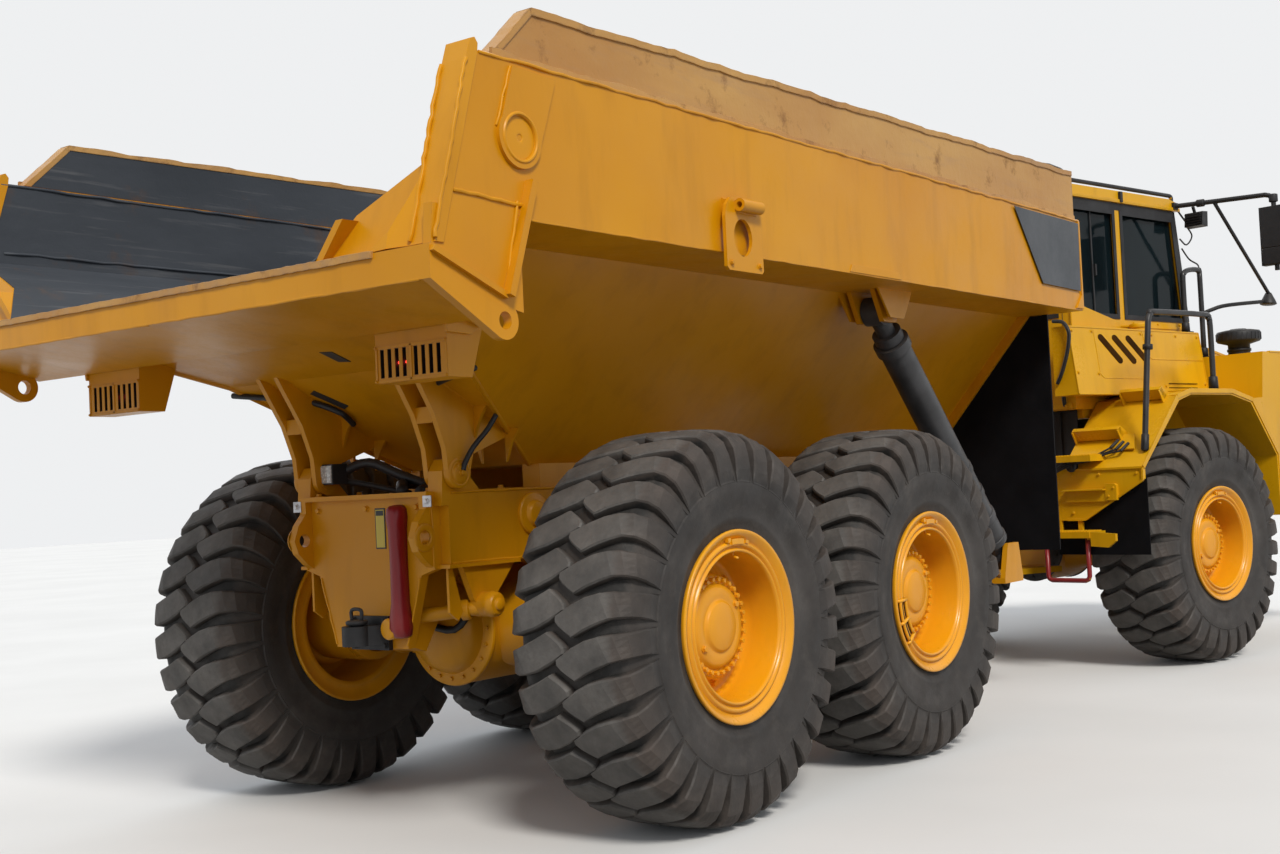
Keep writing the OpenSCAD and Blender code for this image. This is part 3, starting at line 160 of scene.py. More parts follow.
class Nodes(Tree):
    """The node tree of a new material, drawn in object coordinates."""

    def __init__(self, name):
        self.mat = bpy.data.materials.new(name)
        self.mat.use_nodes = True
        super().__init__(self.mat.node_tree)
        self.shader = self.node("ShaderNodeBsdfPrincipled")
        self.link(self.shader.outputs[0], self.node("ShaderNodeOutputMaterial").inputs[0])
        self.coord = self.node("ShaderNodeTexCoord").outputs["Object"]

    def texture(self, kind, vector, **values):
        t = self.node(kind)
        for k, v in values.items():
            t.inputs[k].default_value = v
        self.link(vector, t.inputs["Vector"])
        return t.outputs

    def noise(self, scale, detail=3.0, rough=0.55, stretch=None, lo=0.35, hi=0.65):
        v = self.coord
        if stretch:
            v = self.texture("ShaderNodeMapping", v, Scale=stretch)[0]
        out = self.texture("ShaderNodeTexNoise", v, Scale=scale, Detail=detail, Roughness=rough)
        return self.remap(out[0], lo, hi)

    def cells(self, scale, lo, hi):
        return self.remap(self.texture("ShaderNodeTexVoronoi", self.coord, Scale=scale)["Distance"], lo, hi)

    def bump(self, height, strength, distance, before=None):
        n = self.node("ShaderNodeBump")
        n.inputs["Strength"].default_value = strength
        n.inputs["Distance"].default_value = distance
        self.put(n.inputs["Height"], height)
        if before is not None:
            self.link(before, n.inputs["Normal"])
        return n.outputs[0]

    def grain(self, scale, detail, rough, strength, distance, before=None):
        """A bump of plain noise."""
        return self.bump(self.noise(scale, detail, rough, lo=0.2, hi=0.8), strength, distance, before)

    def axis(self, name):
        s = self.node("ShaderNodeSeparateXYZ")
        self.link(self.coord, s.inputs[0])
        return s.outputs[name]

    def facing_up(self):
        g = self.node("ShaderNodeNewGeometry")
        s = self.node("ShaderNodeSeparateXYZ")
        self.link(g.outputs["Normal"], s.inputs[0])
        return s.outputs["Z"]

    def edges(self, radius):
        """1 where the surface turns sharply within the radius."""
        b = self.node("ShaderNodeBevel", samples=4)
        b.inputs["Radius"].default_value = radius
        g = self.node("ShaderNodeNewGeometry")
        d = self.node("ShaderNodeVectorMath", operation="DOT_PRODUCT")
        self.link(b.outputs[0], d.inputs[0])
        self.link(g.outputs["Normal"], d.inputs[1])
        return self.remap(d.outputs["Value"], 0.97, 0.8)

    def done(self, colour, rough, normal=None, metallic=0.0, **others):
        s = self.shader.inputs
        self.put(s["Base Color"], (*colour[:3], 1.0) if isinstance(colour, tuple) else colour)
        self.put(s["Roughness"], rough)
        s["Metallic"].default_value = metallic
        if normal is not None:
            self.link(normal, s["Normal"])
        for k, v in others.items():
            s[k].default_value = v
        return self.mat


def paint(name, base, deep, rough=0.36, dust=0.35, wear=0.35, dust_colour=(0.3, 0.22, 0.13), coat=0.25):
    """Sprayed machine paint: slow colour drift, runs, dust on upper faces and low down, worn edges."""
    n = Nodes(name)
    colour = n.mix(n.noise(0.9, 3, 0.55, lo=0.3, hi=0.7), base, deep)
    colour = n.mix(n.times(n.noise(7, 4, 0.6, stretch=(1, 1, 0.22), lo=0.5, hi=0.72), 0.35), colour,
                   tuple(c * 0.72 for c in deep))
    fine = n.noise(60, 4, 0.6, lo=0.45, hi=0.75)
    up = n.remap(n.facing_up(), 0.35, 0.95)
    low = n.remap(n.axis("Z"), 1.3, 0.4)
    dirt = n.times(n.math("MAXIMUM", up, n.times(low, 0.6)), n.noise(3.5, 5, 0.65, lo=0.35, hi=0.75))
    dirt = n.times(dirt, dust)
    colour = n.mix(dirt, colour, dust_colour)
    edge = n.times(n.edges(0.006), n.noise(14, 4, 0.7, lo=0.42, hi=0.62))
    colour = n.mix(n.times(edge, wear), colour, (0.16, 0.09, 0.045))
    r = n.remap(n.math("ADD", n.noise(2.2, 4, 0.6), n.times(fine, 0.4)), 0.0, 1.4, rough - 0.07, rough + 0.16)
    normal = n.grain(240, 2, 0.5, 0.1, 0.002)
    normal = n.grain(2.6, 3, 0.5, 0.35, 0.012, normal)
    return n.done(colour, r, normal, **{"Coat Weight": coat, "Coat Roughness": 0.22, "Specular IOR Level": 0.28})


def worn_steel(name):
    """Scraped, faded board and lip steel under chipped paint."""
    n = Nodes(name)
    colour = n.mix(n.noise(2.0, 5, 0.6, stretch=(0.35, 1, 1)), (0.52, 0.285, 0.075), (0.42, 0.2, 0.045))
    streak = n.noise(9, 5, 0.7, stretch=(0.12, 1, 1), lo=0.5, hi=0.72)
    colour = n.mix(n.times(streak, 0.55), colour, (0.34, 0.2, 0.1))
    rust = n.noise(5.5, 6, 0.72, lo=0.56, hi=0.7)
    colour = n.mix(n.times(rust, 0.7), colour, (0.15, 0.062, 0.022))
    edge = n.times(n.edges(0.012), n.noise(11, 4, 0.7, lo=0.4, hi=0.58))
    colour = n.mix(n.times(edge, 0.8), colour, (0.115, 0.055, 0.025))
    normal = n.grain(30, 5, 0.65, 0.35, 0.004)
    normal = n.grain(2.4, 3, 0.5, 0.5, 0.02, normal)
    return n.done(colour, n.remap(rust, 0.0, 1.0, 0.5, 0.75), normal)


def slate_inside(name):
    """Dark scraped steel of the bed's inner faces."""
    n = Nodes(name)
    colour = n.mix(n.noise(1.6, 5, 0.6, stretch=(0.3, 1, 1)), (0.027, 0.033, 0.042), (0.053, 0.061, 0.074))
    scratch = n.noise(26, 4, 0.6, stretch=(0.06, 1, 1), lo=0.56, hi=0.7)
    colour = n.mix(n.times(scratch, 0.45), colour, (0.13, 0.13, 0.135))
    rust = n.noise(4.2, 6, 0.7, lo=0.6, hi=0.72)
    colour = n.mix(n.times(rust, 0.4), colour, (0.11, 0.055, 0.025))
    normal = n.grain(18, 5, 0.6, 0.3, 0.004)
    return n.done(colour, n.remap(scratch, 0, 1, 0.62, 0.42), normal, metallic=0.2)


def tyre_rubber(name):
    n = Nodes(name)
    x, y, z = n.axis("X"), n.axis("Y"), n.axis("Z")
    r = n.math("SQRT", n.math("ADD", n.times(x, x), n.times(z, z)))
    side = n.mix(n.noise(3.0, 5, 0.6), (0.016, 0.014, 0.013), (0.036, 0.031, 0.028))
    crown = n.mix(n.noise(5.0, 5, 0.65), (0.05, 0.047, 0.044), (0.112, 0.104, 0.096))
    crown = n.mix(n.times(n.noise(60, 3, 0.6, lo=0.5, hi=0.7), 0.5), crown, (0.07, 0.062, 0.056))
    shoulder = n.mix(n.noise(4.0, 4, 0.6), (0.036, 0.03, 0.026), (0.066, 0.052, 0.044))
    colour = n.mix(n.remap(r, 0.6, 0.74), side, shoulder)
    # painted shade: the floors of the grooves between the lugs are darkened
    deep = n.times(n.remap(r, 0.772, 0.758), n.remap(n.math("ABSOLUTE", y), 0.262, 0.235))
    colour = n.mix(deep, colour, (0.01, 0.009, 0.008))
    colour = n.mix(n.remap(r, 0.775, 0.788), colour, crown)
    dusty = n.times(n.noise(7, 6, 0.7, lo=0.5, hi=0.74), 0.3)
    colour = n.mix(dusty, colour, (0.12, 0.104, 0.09))
    ring = n.times(n.remap(r, 0.5, 0.43), n.noise(2.2, 5, 0.6, lo=0.4, hi=0.7))
    colour = n.mix(n.times(ring, 0.4), colour, (0.13, 0.118, 0.108))
    normal = n.grain(90, 4, 0.6, 0.22, 0.0025)
    normal = n.grain(12, 4, 0.6, 0.35, 0.004, normal)
    return n.done(colour, n.remap(n.noise(9, 4, 0.6), 0, 1, 0.62, 0.82), normal)


def dark_plastic(name, base=(0.018, 0.018, 0.019), rough=0.45, shine=0.35):
    n = Nodes(name)
    colour = n.mix(n.noise(6, 4, 0.6), base, tuple(c * 1.9 + 0.001 for c in base))
    up = n.times(n.remap(n.facing_up(), 0.3, 0.95), n.noise(5, 5, 0.6, lo=0.35, hi=0.7))
    colour = n.mix(n.times(up, 0.3), colour, (0.17, 0.14, 0.11))
    normal = n.grain(180, 3, 0.6, 0.18, 0.0015)
    return n.done(colour, n.remap(n.noise(4, 4, 0.6), 0, 1, rough - 0.08, rough + 0.14), normal,
                  **{"Specular IOR Level": shine})


def bare_metal(name, base=(0.42, 0.42, 0.43), rough=0.28, metallic=0.9):
    n = Nodes(name)
    colour = n.mix(n.noise(9, 4, 0.6), base, tuple(c * 0.6 for c in base))
    normal = n.bump(n.noise(140, 3, 0.6, stretch=(1, 1, 0.1), lo=0.2, hi=0.8), 0.15, 0.001)
    return n.done(colour, n.remap(n.noise(7, 4, 0.6), 0, 1, rough - 0.06, rough + 0.2), normal, metallic=metallic)


def cast(name, base=(0.03, 0.028, 0.027)):
    n = Nodes(name)
    colour = n.mix(n.noise(8, 5, 0.65), base, tuple(c * 2.4 for c in base))
    rust = n.noise(13, 5, 0.7, lo=0.58, hi=0.72)
    colour = n.mix(n.times(rust, 0.4), colour, (0.14, 0.06, 0.025))
    normal = n.grain(70, 4, 0.65, 0.4, 0.003)
    return n.done(colour, 0.62, normal, metallic=0.3)


def tinted_glass(name, base=(0.004, 0.008, 0.01), alpha=0.9):
    n = Nodes(name)
    streak = n.noise(3, 4, 0.6, stretch=(1, 1, 0.2))
    return n.done(n.mix(streak, base, tuple(c * 1.6 for c in base)), n.remap(n.noise(5, 4, 0.6), 0, 1, 0.02, 0.09),
                  n.bump(n.noise(1.5, 2, 0.5), 0.05, 0.01),
                  **{"IOR": 1.5, "Alpha": alpha, "Specular IOR Level": 0.12})


def seat_cloth(name):
    n = Nodes(name)
    weave = n.noise(380, 2, 0.5, lo=0.3, hi=0.7)
    colour = n.mix(weave, (0.022, 0.023, 0.027), (0.05, 0.052, 0.058))
    return n.done(colour, 0.88, n.bump(weave, 0.4, 0.0015), **{"Sheen Weight": 0.25})


def lens(name, base, glow=0.0, rough=0.12):
    n = Nodes(name)
    cells = n.cells(90, 0.0, 0.6)
    colour = n.mix(cells, base, tuple(c * 0.55 for c in base))
    others = {"Coat Weight": 0.8}
    if glow:
        others.update({"Emission Color": (*base, 1.0), "Emission Strength": glow})
    return n.done(colour, rough, n.bump(cells, 0.3, 0.002), **others)


OCHRE = paint("bed_ochre", (0.66, 0.292, 0.002), (0.57, 0.232, 0.001), rough=0.36, dust=0.09, coat=0.06)
LEMON = paint("cab_yellow", (0.7, 0.372, 0.003), (0.62, 0.312, 0.002), rough=0.32, dust=0.09, wear=0.15, coat=0.1)
AMBER = paint("rim_amber", (0.83, 0.375, 0.005), (0.73, 0.3, 0.003), rough=0.32, dust=0.12, wear=0.12)
RED = paint("lock_red", (0.27, 0.006, 0.012), (0.19, 0.004, 0.01), rough=0.32, dust=0.3)
BOARD = worn_steel("board_steel")
SLATE = slate_inside("bed_inside")
RUBBER = tyre_rubber("tyre_rubber")
BLACK = dark_plastic("black_parts", (0.009, 0.009, 0.01), 0.5)
FLAP = dark_plastic("flap_rubber", (0.0015, 0.0015, 0.0022), 0.75, 0.12)
HOSE = dark_plastic("hose_rubber", (0.01, 0.01, 0.011), 0.5)
CYLINDER = dark_plastic("cylinder_paint", (0.03, 0.03, 0.032), 0.38)
CHROME = bare_metal("rod_chrome", (0.55, 0.55, 0.56), 0.12, 1.0)
CAST = cast("cast_iron")
GLASS = tinted_glass("cab_glass")
MIRROR = bare_metal("mirror_face", (0.75, 0.76, 0.78), 0.07, 1.0)
CLOTH = seat_cloth("seat_cloth")
CLEAR_LENS = lens("lamp_lens", (0.8, 0.8, 0.78))
AMBER_LENS = lens("amber_lens", (0.75, 0.22, 0.01))
PANEL = paint("panel_slate", (0.022, 0.028, 0.036), (0.016, 0.02, 0.027), rough=0.38, dust=0.25, wear=0.2)
LABEL = paint("label_yellow", (0.62, 0.48, 0.06), (0.55, 0.42, 0.05), rough=0.35, dust=0.3, wear=0)
# painted shade: near black for the backs and walls of the tail lamp slots
LAMP_SLOT_SHADE = dark_plastic("lamp_slot_painted_shade", (0.01, 0.006, 0.006), 0.4)
LIT_LENS = lens("lit_lens", (0.95, 0.05, 0.03), glow=3.0)
SMOKED_LENS = lens("smoked_lens", (0.1, 0.01, 0.008))
PALE_PLATE = bare_metal("pale_plate", (0.62, 0.62, 0.64), 0.4, 0.6)
RAIL_BLACK = dark_plastic("rail_black", (0.016, 0.016, 0.017), 0.32)
GAUGE_LENS = lens("gauge_lens", (0.1, 0.13, 0.14))
# painted shade: dark brown standing for the shaded insides of the box's louvre slots
LOUVRE_SHADE = dark_plastic("louvre_painted_shade", (0.03, 0.012, 0.002), 0.8, 0.05)

CAD_LOOK = {"rear_frame": OCHRE, "bogie_axles": OCHRE, "bogie_beams": OCHRE, "tow_coupling": BLACK, "lock_bar": RED,
            "bed": OCHRE, "side_boards": BOARD, "lamp_boxes": OCHRE, "stone_flaps": FLAP, "hoist_barrels": CYLINDER,
            "hoist_sleeves": CYLINDER, "hoist_rods": CYLINDER, "hitch_yoke": OCHRE, "steer_barrel_left": CYLINDER,
            "steer_rod_left": CHROME, "steer_barrel_right": CYLINDER, "steer_rod_right": CHROME, "front_frame": LEMON,
            "front_axle": OCHRE, "engine": CAST, "cab_frame": LEMON, "cab_roof": LEMON, "cab_glass": GLASS,
            "seat": CLOTH, "dashboard": BLACK, "door": LEMON, "door_glass": GLASS, "hood": LEMON, "grille": BLACK,
            "bumper": LEMON, "fenders": LEMON, "side_boxes": LEMON, "handrails": BLACK, "mirrors": BLACK,
            "steps": LEMON, "lamps": CLEAR_LENS, "air_intake": BLACK}
for node_name, look in CAD_LOOK.items():
    if node_name in frame["nodes"]:
        for s in frame["nodes"][node_name].material_slots:
            s.material = look


# ---------------------------------------------------------------- mesh building
def signed_area(outline):
    """Twice the area, positive when the outline runs anticlockwise."""
    return sum(p[0] * q[1] - q[0] * p[1] for p, q in zip(outline, [*outline[1:], outline[0]]))


def grid_faces(rows, n):
    """Quads between rows of n points that close on themselves."""
    return [(i * n + k, i * n + (k + 1) % n, (i + 1) * n + (k + 1) % n, (i + 1) * n + k)
            for i in range(rows - 1) for k in range(n)]


class Shape:
    """Collects faces in one local frame, drawn in millimetres unless another unit is given."""

    def __init__(self, unit=MM):
        self.unit = unit
        self.verts, self.faces, self.mats, self.smooth = [], [], [], []

    def add(self, verts, faces, mat=0, smooth=False):
        base = len(self.verts)
        self.verts += [tuple(c * self.unit for c in v) for v in verts]
        self.faces += [tuple(i + base for i in f) for f in faces]
        self.mats += [mat] * len(faces)
        self.smooth += [smooth] * len(faces)
        return self

    def prism(self, outline, a, b, axis="y", mat=0):
        """A 2D outline extruded from a to b along an axis: (x, z) for y, (y, z) for x, (x, y) for z."""
        place = {"y": lambda p, t: (p[0], t, p[1]),
                 "x": lambda p, t: (t, p[0], p[1]),
                 "z": lambda p, t: (p[0], p[1], t)}[axis]
        a, b = sorted((a, b))
        n = len(outline)
        pts = list(outline) if (signed_area(outline) > 0) != (axis == "y") else list(outline)[::-1]
        verts = [place(p, a) for p in pts] + [place(p, b) for p in pts]
        faces = [tuple(range(n))[::-1], tuple(range(n, 2 * n))]
        faces += [(i, (i + 1) % n, n + (i + 1) % n, n + i) for i in range(n)]
        return self.add(verts, faces, mat)

    def box(self, lo, hi, mat=0):
        """Any two opposite corners."""
        lo, hi = zip(*(sorted(pair) for pair in zip(lo, hi)))
        return self.prism([(lo[0], lo[1]), (hi[0], lo[1]), (hi[0], hi[1]), (lo[0], hi[1])], lo[2], hi[2], "z", mat)

    def ring(self, profile, centre=(0, 0, 0), axis=(0, 1, 0), n=48, mat=0, smooth=True):
        """Revolves (radius, height along the axis) round the axis."""
        k = Vector(axis).normalized()
        u = k.orthogonal().normalized()
        w = k.cross(u)
        c = Vector(centre)
        turns = [2 * math.pi * i / n for i in range(n)]
        rows = [[c + k * h + (u * math.cos(a) + w * math.sin(a)) * r for a in turns] for r, h in profile]
        return self.add([v for row in rows for v in row], grid_faces(len(rows), n), mat, smooth)

    def rod(self, p, q, r, n=16, mat=0, r2=None):
        p, q = Vector(p), Vector(q)
        length = (q - p).length
        r2 = r if r2 is None else r2
        c = min(r, r2) * 0.08
        return self.ring([(TIP, 0), (r - c, 0), (r, c), (r2, length - c), (r2 - c, length), (TIP, length)], p, q - p,
                         n, mat)

    def bolt(self, p, axis, r, h):
        """A hexagon head on its washer."""
        k = Vector(axis).normalized()
        p = Vector(p)
        self.ring([(TIP, 2.8), (r * 1.25, 2.8), (r * 1.3, 0), (r * 1.3, -1)], p, k, 12, smooth=False)
        self.ring([(TIP, h), (r * 0.86, h), (r, h * 0.82), (r, 0)], p + k * 2.5, k, 6, smooth=False)
        return self

    def bolts(self, centre, axis, radius, n, r, h, start=0.0):
        """n bolts on a circle round an axis along X or Y."""
        for i in range(n):
            a = start + 2 * math.pi * i / n
            c, d = radius * math.cos(a), radius * math.sin(a)
            self.bolt(Vector(centre) + Vector((c, 0, d) if axis[1] else (0, c, d)), axis, r, h)
        return self

    def tube(self, points, r, n=8, mat=0, steps=0):
        """A round tube through the points, smoothed as a Catmull-Rom curve when steps is set."""
        pts = [Vector(p) for p in points]
        if steps:
            ext = [pts[0] * 2 - pts[1]] + pts + [pts[-1] * 2 - pts[-2]]
            out = []
            for i in range(1, len(ext) - 2):
                for s in range(steps):
                    t = s / steps
                    a, b, c, d = ext[i - 1], ext[i], ext[i + 1], ext[i + 2]
                    out.append(0.5 * (2 * b + (c - a) * t + (2 * a - 5 * b + 4 * c - d) * t * t
                                      + (3 * b - a - 3 * c + d) * t ** 3))
            pts = out + [pts[-1]]
        heads = [(pts[min(i + 1, len(pts) - 1)] - pts[max(i - 1, 0)]).normalized() for i in range(len(pts))]
        side = heads[0].orthogonal().normalized()
        turns = [2 * math.pi * k / n for k in range(n)]
        verts = []
        for p, t in zip(pts, heads):
            side = (side - t * side.dot(t)).normalized()
            w = t.cross(side)
            verts += [p + (side * math.cos(a) + w * math.sin(a)) * r for a in turns]
        ends = [tuple(range(n))[::-1], tuple(range(len(verts) - n, len(verts)))]
        return self.add(verts, grid_faces(len(pts), n) + ends, mat, True)


def mesh_of(name, shape, mats):
    me = bpy.data.meshes.new(name)
    me.from_pydata(shape.verts, [], shape.faces)
    for m in mats:
        me.materials.append(m)
    me.polygons.foreach_set("material_index", shape.mats)
    me.polygons.foreach_set("use_smooth", shape.smooth)
    me.update()
    return me


def make(name, shape, place, body, slot, mats, bevel=0.0, stands_for=()):
    """One piece: its faces turned outwards, its sharp edges rounded, fixed to its body."""
    me = mesh_of(name, shape, mats)
    bm = bmesh.new()
    bm.from_mesh(me)
    bmesh.ops.recalc_face_normals(bm, faces=bm.faces)
    bm.to_mesh(me)
    bm.free()
    o = add_object(name, me, place)
    if bevel:
        b = o.modifiers.new("Bevel", "BEVEL")
        b.width = bevel * MM
        b.segments = 2
        b.limit_method = "ANGLE"
        b.angle_limit = math.radians(35)
        b.harden_normals = False
    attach(o, body)
    if stands_for:
        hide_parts(*stands_for)
    return o


def piece(name, *where, **others):
    """Marks a function that draws one piece. Its name becomes the piece's object."""
    def draw(build):
        s = Shape()
        build(s)
        return make(name, s, *where, **others)
    return draw


# ---------------------------------------------------------------- tyres
# Drawn in metres. Outer section as (distance from the middle plane, radius), lug outlines as (metres along
# the section, degrees), groove as (metres along the section, depth)
SECTION = [(0.0, 0.8), (0.11, 0.7992), (0.19, 0.793), (0.224, 0.786), (0.262, 0.76), (0.281, 0.74), (0.293, 0.7),
           (0.2985, 0.64), (0.2995, 0.6), (0.2975, 0.57), (0.292, 0.53), (0.283, 0.49), (0.276, 0.456),
           (0.279, 0.444), (0.276, 0.43), (0.264, 0.415), (0.258, 0.395), (0.256, 0.33)]
ALONG = np.r_[0, np.cumsum(np.hypot(*np.diff(np.array(SECTION), axis=0).T))]
GROOVE = [(0.0, 0.036), (0.22, 0.044), (0.3, 0.04), (0.38, 0.026), (0.44, 0.01), (0.468, -0.001)]
LOW_EDGE = [(0.06, 2.6), (0.15, 5.6), (0.23, 7.6), (0.3, 8.3), (0.38, 8.3), (0.462, 7.6)]
HIGH_EDGE = [(-0.022, 8.2), (0.05, 11.4), (0.115, 13.5), (0.18, 14.7), (0.24, 15.3), (0.3, 15.6), (0.38, 16.4),
             (0.462, 17.6)]
# Where a lug's two edges start near the middle, and where both end
LOW_START, HIGH_START, LUG_END = 0.06, -0.022, 0.462
LUGS = 31
MIRROR_PHASE = 18.3


def section(t, depth=0.0):
    """The section's point t metres from the crown, sunk by depth."""
    e = 0.004
    (y, r), (y0, r0), (y1, r1) = ([np.interp(abs(t) + d, ALONG, c) for c in zip(*SECTION)] for d in (0, -e, e))
    if abs(t) < e:
        y0, r0 = -y1, r1
    n = np.hypot(y1 - y0, r1 - r0)
    y, r = y + (r1 - r0) / n * depth, r - (y1 - y0) / n * depth
    return (math.copysign(y, t) if t else 0.0), r


def groove_depth(t):
    return float(np.interp(abs(t), [g[0] for g in GROOVE], [g[1] for g in GROOVE]))


def on_tyre(deg, t, depth):
    y, r = section(t, depth)
    a = math.radians(deg)
    return (-r * math.cos(a), -y, r * math.sin(a))


def lug(shape, phase, flip):
    """One lug as a patch between its two edges, with a rim of chamfer and sloped walls."""
    rows, cols = 9, 5
    grid = []
    for i in range(rows):
        s = (i / (rows - 1)) ** 0.9
        line = []
        for j in range(cols):
            v = j / (cols - 1)
            t_low = LOW_START + (LUG_END - LOW_START) * s
            t_high = HIGH_START + (LUG_END - HIGH_START) * s
            a_low = np.interp(t_low, [p[0] for p in LOW_EDGE], [p[1] for p in LOW_EDGE])
            a_high = np.interp(t_high, [p[0] for p in HIGH_EDGE], [p[1] for p in HIGH_EDGE])
            t = (1 - v) * t_low + v * t_high
            a = (1 - v) * a_low + v * a_high
            nose = 0.024 * math.sin(math.pi * v) ** 0.8 * (1 - s) ** 6
            line.append([a, t - nose * (0.4 + 0.9 * v)])
        grid.append(line)
    g = np.array(grid)
    centre = g.reshape(-1, 2).mean(0)
    around = [(0, j) for j in range(cols)] + [(i, cols - 1) for i in range(1, rows)]
    around += [(rows - 1, j) for j in range(cols - 2, -1, -1)] + [(i, 0) for i in range(rows - 2, 0, -1)]

    def place(p, depth):
        a, t = p
        if flip:
            a, t = MIRROR_PHASE - a, -t
        return on_tyre(a + phase, t, depth)

    # widths in metres, so that insets are even
    scale = np.array([math.radians(1) * 0.78, 1.0])
    top = {}
    verts = []
    for i in range(rows):
        for j in range(cols):
            p = g[i, j].copy()
            if i in (0, rows - 1) or j in (0, cols - 1):
                d = (g[min(max(i, 1), rows - 2), min(max(j, 1), cols - 2)] - p) * scale
                p = p + d / (np.linalg.norm(d) + 1e-9) * 0.007 / scale
            top[i, j] = len(verts)
            verts.append(place(p, 0.006 if i == rows - 1 else 0.0))
    shoulder, foot = {}, {}
    for i, j in around:
        shoulder[i, j] = len(verts)
        t = abs(g[i, j][1])
        verts.append(place(g[i, j], min(0.007, max(0.0, groove_depth(t)) * 0.5)))
    for i, j in around:
        p = g[i, j]
        d = (p - centre) * scale
        p = p + d / (np.linalg.norm(d) + 1e-9) * 0.006 / scale
        foot[i, j] = len(verts)
        verts.append(place(p, groove_depth(abs(p[1])) + 0.004))
    faces = []
    for i in range(rows - 1):
        for j in range(cols - 1):
            faces.append((top[i, j], top[i + 1, j], top[i + 1, j + 1], top[i, j + 1]))
    m = len(around)
    walls = []
    for k in range(m):
        a, b = around[k], around[(k + 1) % m]
        faces.append((top[a], top[b], shoulder[b], shoulder[a]))
        walls.append((shoulder[a], shoulder[b], foot[b], foot[a]))
    # the flip is a half turn about a radius, so it keeps the faces' winding
    shape.add(verts, faces + walls, 0, False)


def tyre_shape():
    s = Shape(1.0)
    ts = sorted(set([round(x, 4) for x in list(np.arange(0, 0.47, 0.047)) + list(ALONG[ALONG > 0.46])]))
    ts = [-t for t in ts[:0:-1]] + ts
    n = 124
    verts = []
    for t in ts:
        d = groove_depth(t) if abs(t) < 0.468 else 0.0
        y, r = section(t, d)
        verts += [(-r * math.cos(2 * math.pi * k / n), -y, r * math.sin(2 * math.pi * k / n)) for k in range(n)]
    s.add(verts, [f[:1] + f[:0:-1] for f in grid_faces(len(ts), n)], 0, True)
    for k in range(LUGS):
        lug(s, 360.0 * k / LUGS, False)
        lug(s, 360.0 * k / LUGS, True)
    return s


# ---------------------------------------------------------------- rims
RIM_FACE = [(384, 258), (389.5, 270), (388, 280), (381, 279.5), (372, 277), (364, 268), (353, 262), (349, 254),
            (343, 254), (340, 265.5), (329, 269.5), (323, 262), (319, 252.5), (313.5, 253.5), (311, 264.5),
            (305, 268.5), (299, 264), (296, 250), (295.5, 130), (290, 85), (280, 73.5), (216, 72), (214, 128),
            (209, 141), (200, 146), (176, 147), (171, 149), (165, 163), (150, 169), (118, 172.5), (112, 170),
            (104, 171.5), (99, 181), (92, 185), (40, 187), (TIP, 187)]
RIM_BACK = [(384, 258), (318, 256), (318, -256), (384, -258), (389.5, -270), (388, -280), (378, -279.5), (366, -266),
            (318, -256), (300, -262), (295.5, -245), (295.5, 30), (288, 46), (216, 48), (214, -85), (190, -92),
            (TIP, -92)]


def rim_shape():
    """Drawn with its outer face towards -Y, so it suits a right wheel as it is."""
    s = Shape()
    flip = lambda prof: [(r, -h) for r, h in prof]
    s.ring(flip(RIM_FACE), n=72)
    s.ring(flip(RIM_BACK)[::-1], n=56)
    # studs round the hub cover, and the plug and sight bosses on it
    outward = (0, -1, 0)
    s.bolts((0, -146.5, 0), outward, 188.5, 30, 10.5, 17)
    s.bolts((0, -72.5, 0), outward, 250, 12, 13.5, 18, math.pi / 12)
    s.bolts((0, -170, 0), outward, 140, 2, 13, 10, 0.6)
    # driver lug of the lock ring, and its gap
    for a0, a1, r0, r1, h0, h1 in ((82, 96, 330, 352, 262, 276), (98, 101, 345, 360, 262, 279),
                                   (76, 79, 336, 350, 262, 274)):
        steps = 6
        ring = []
        for k in range(steps + 1):
            a = math.radians(a0 + (a1 - a0) * k / steps)
            for r, h in ((r0, h0), (r1, h0), (r1, h1), (r0, h1)):
                ring.append((r * math.cos(a), -h, r * math.sin(a)))
        faces = [(0, 1, 2, 3), tuple(4 * steps + i for i in (3, 2, 1, 0))]
        for k in range(steps):
            for i in range(4):
                a, b = 4 * k + i, 4 * k + (i + 1) % 4
                faces.append((a, a + 4, b + 4, b))
        s.add(ring, faces)
    # valve stem inside the dish
    s.tube([(20, -235, 297), (20, -238, 280), (20, -262, 272)], 6, 8, steps=3)
    return s


TYRE_MESH = mesh_of("tyre_tread", tyre_shape(), [RUBBER])
RIM_MESH = mesh_of("rim_dish", rim_shape(), [AMBER])
for axle, x, place in (("rear", REAR_AXLE, REAR), ("mid", MID_AXLE, REAR), ("front", FRONT_AXLE, FRONT)):
    for side, sy in (("left", 1), ("right", -1)):
        at = place @ Matrix.Translation(Vector((x, sy * WHEEL_Y, AXLE_Z)) * MM)
        for kind, mesh, slot_name in (("tyre", TYRE_MESH, "tyre"), ("rim", RIM_MESH, "rim_paint")):
            half = math.pi if sy > 0 and kind == "rim" else 0.0
            o = add_object(f"{kind}_detail_{axle}_{side}", mesh, at @ Matrix.Rotation(half, 4, "Z"))
            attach(o, f"wheel_{axle}_{side}")
            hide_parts(f"{kind}_{axle}_{side}")


# ---------------------------------------------------------------- bed details
BED_FRONT, BED_Y = -953, 1450
# Half widths between the bed's walls and of its flat floor
WALL_Y, FLOOR_Y = 1350, 357


def chute_z(x):
    """Height of the chute's underside."""
    return 1900 - (x + 5435) * 0.2725 if x < -5435 else 1500 - (x + 4690) * 0.5369


def loft(s, rows, mat=0, smooth=False):
    """A closed skin through rows of the same number of points."""
    m = len(rows[0])
    ends = [tuple(range(m))[::-1], tuple((len(rows) - 1) * m + j for j in range(m))]
    return s.add([p for r in rows for p in r], grid_faces(len(rows), m) + ends, mat, smooth)


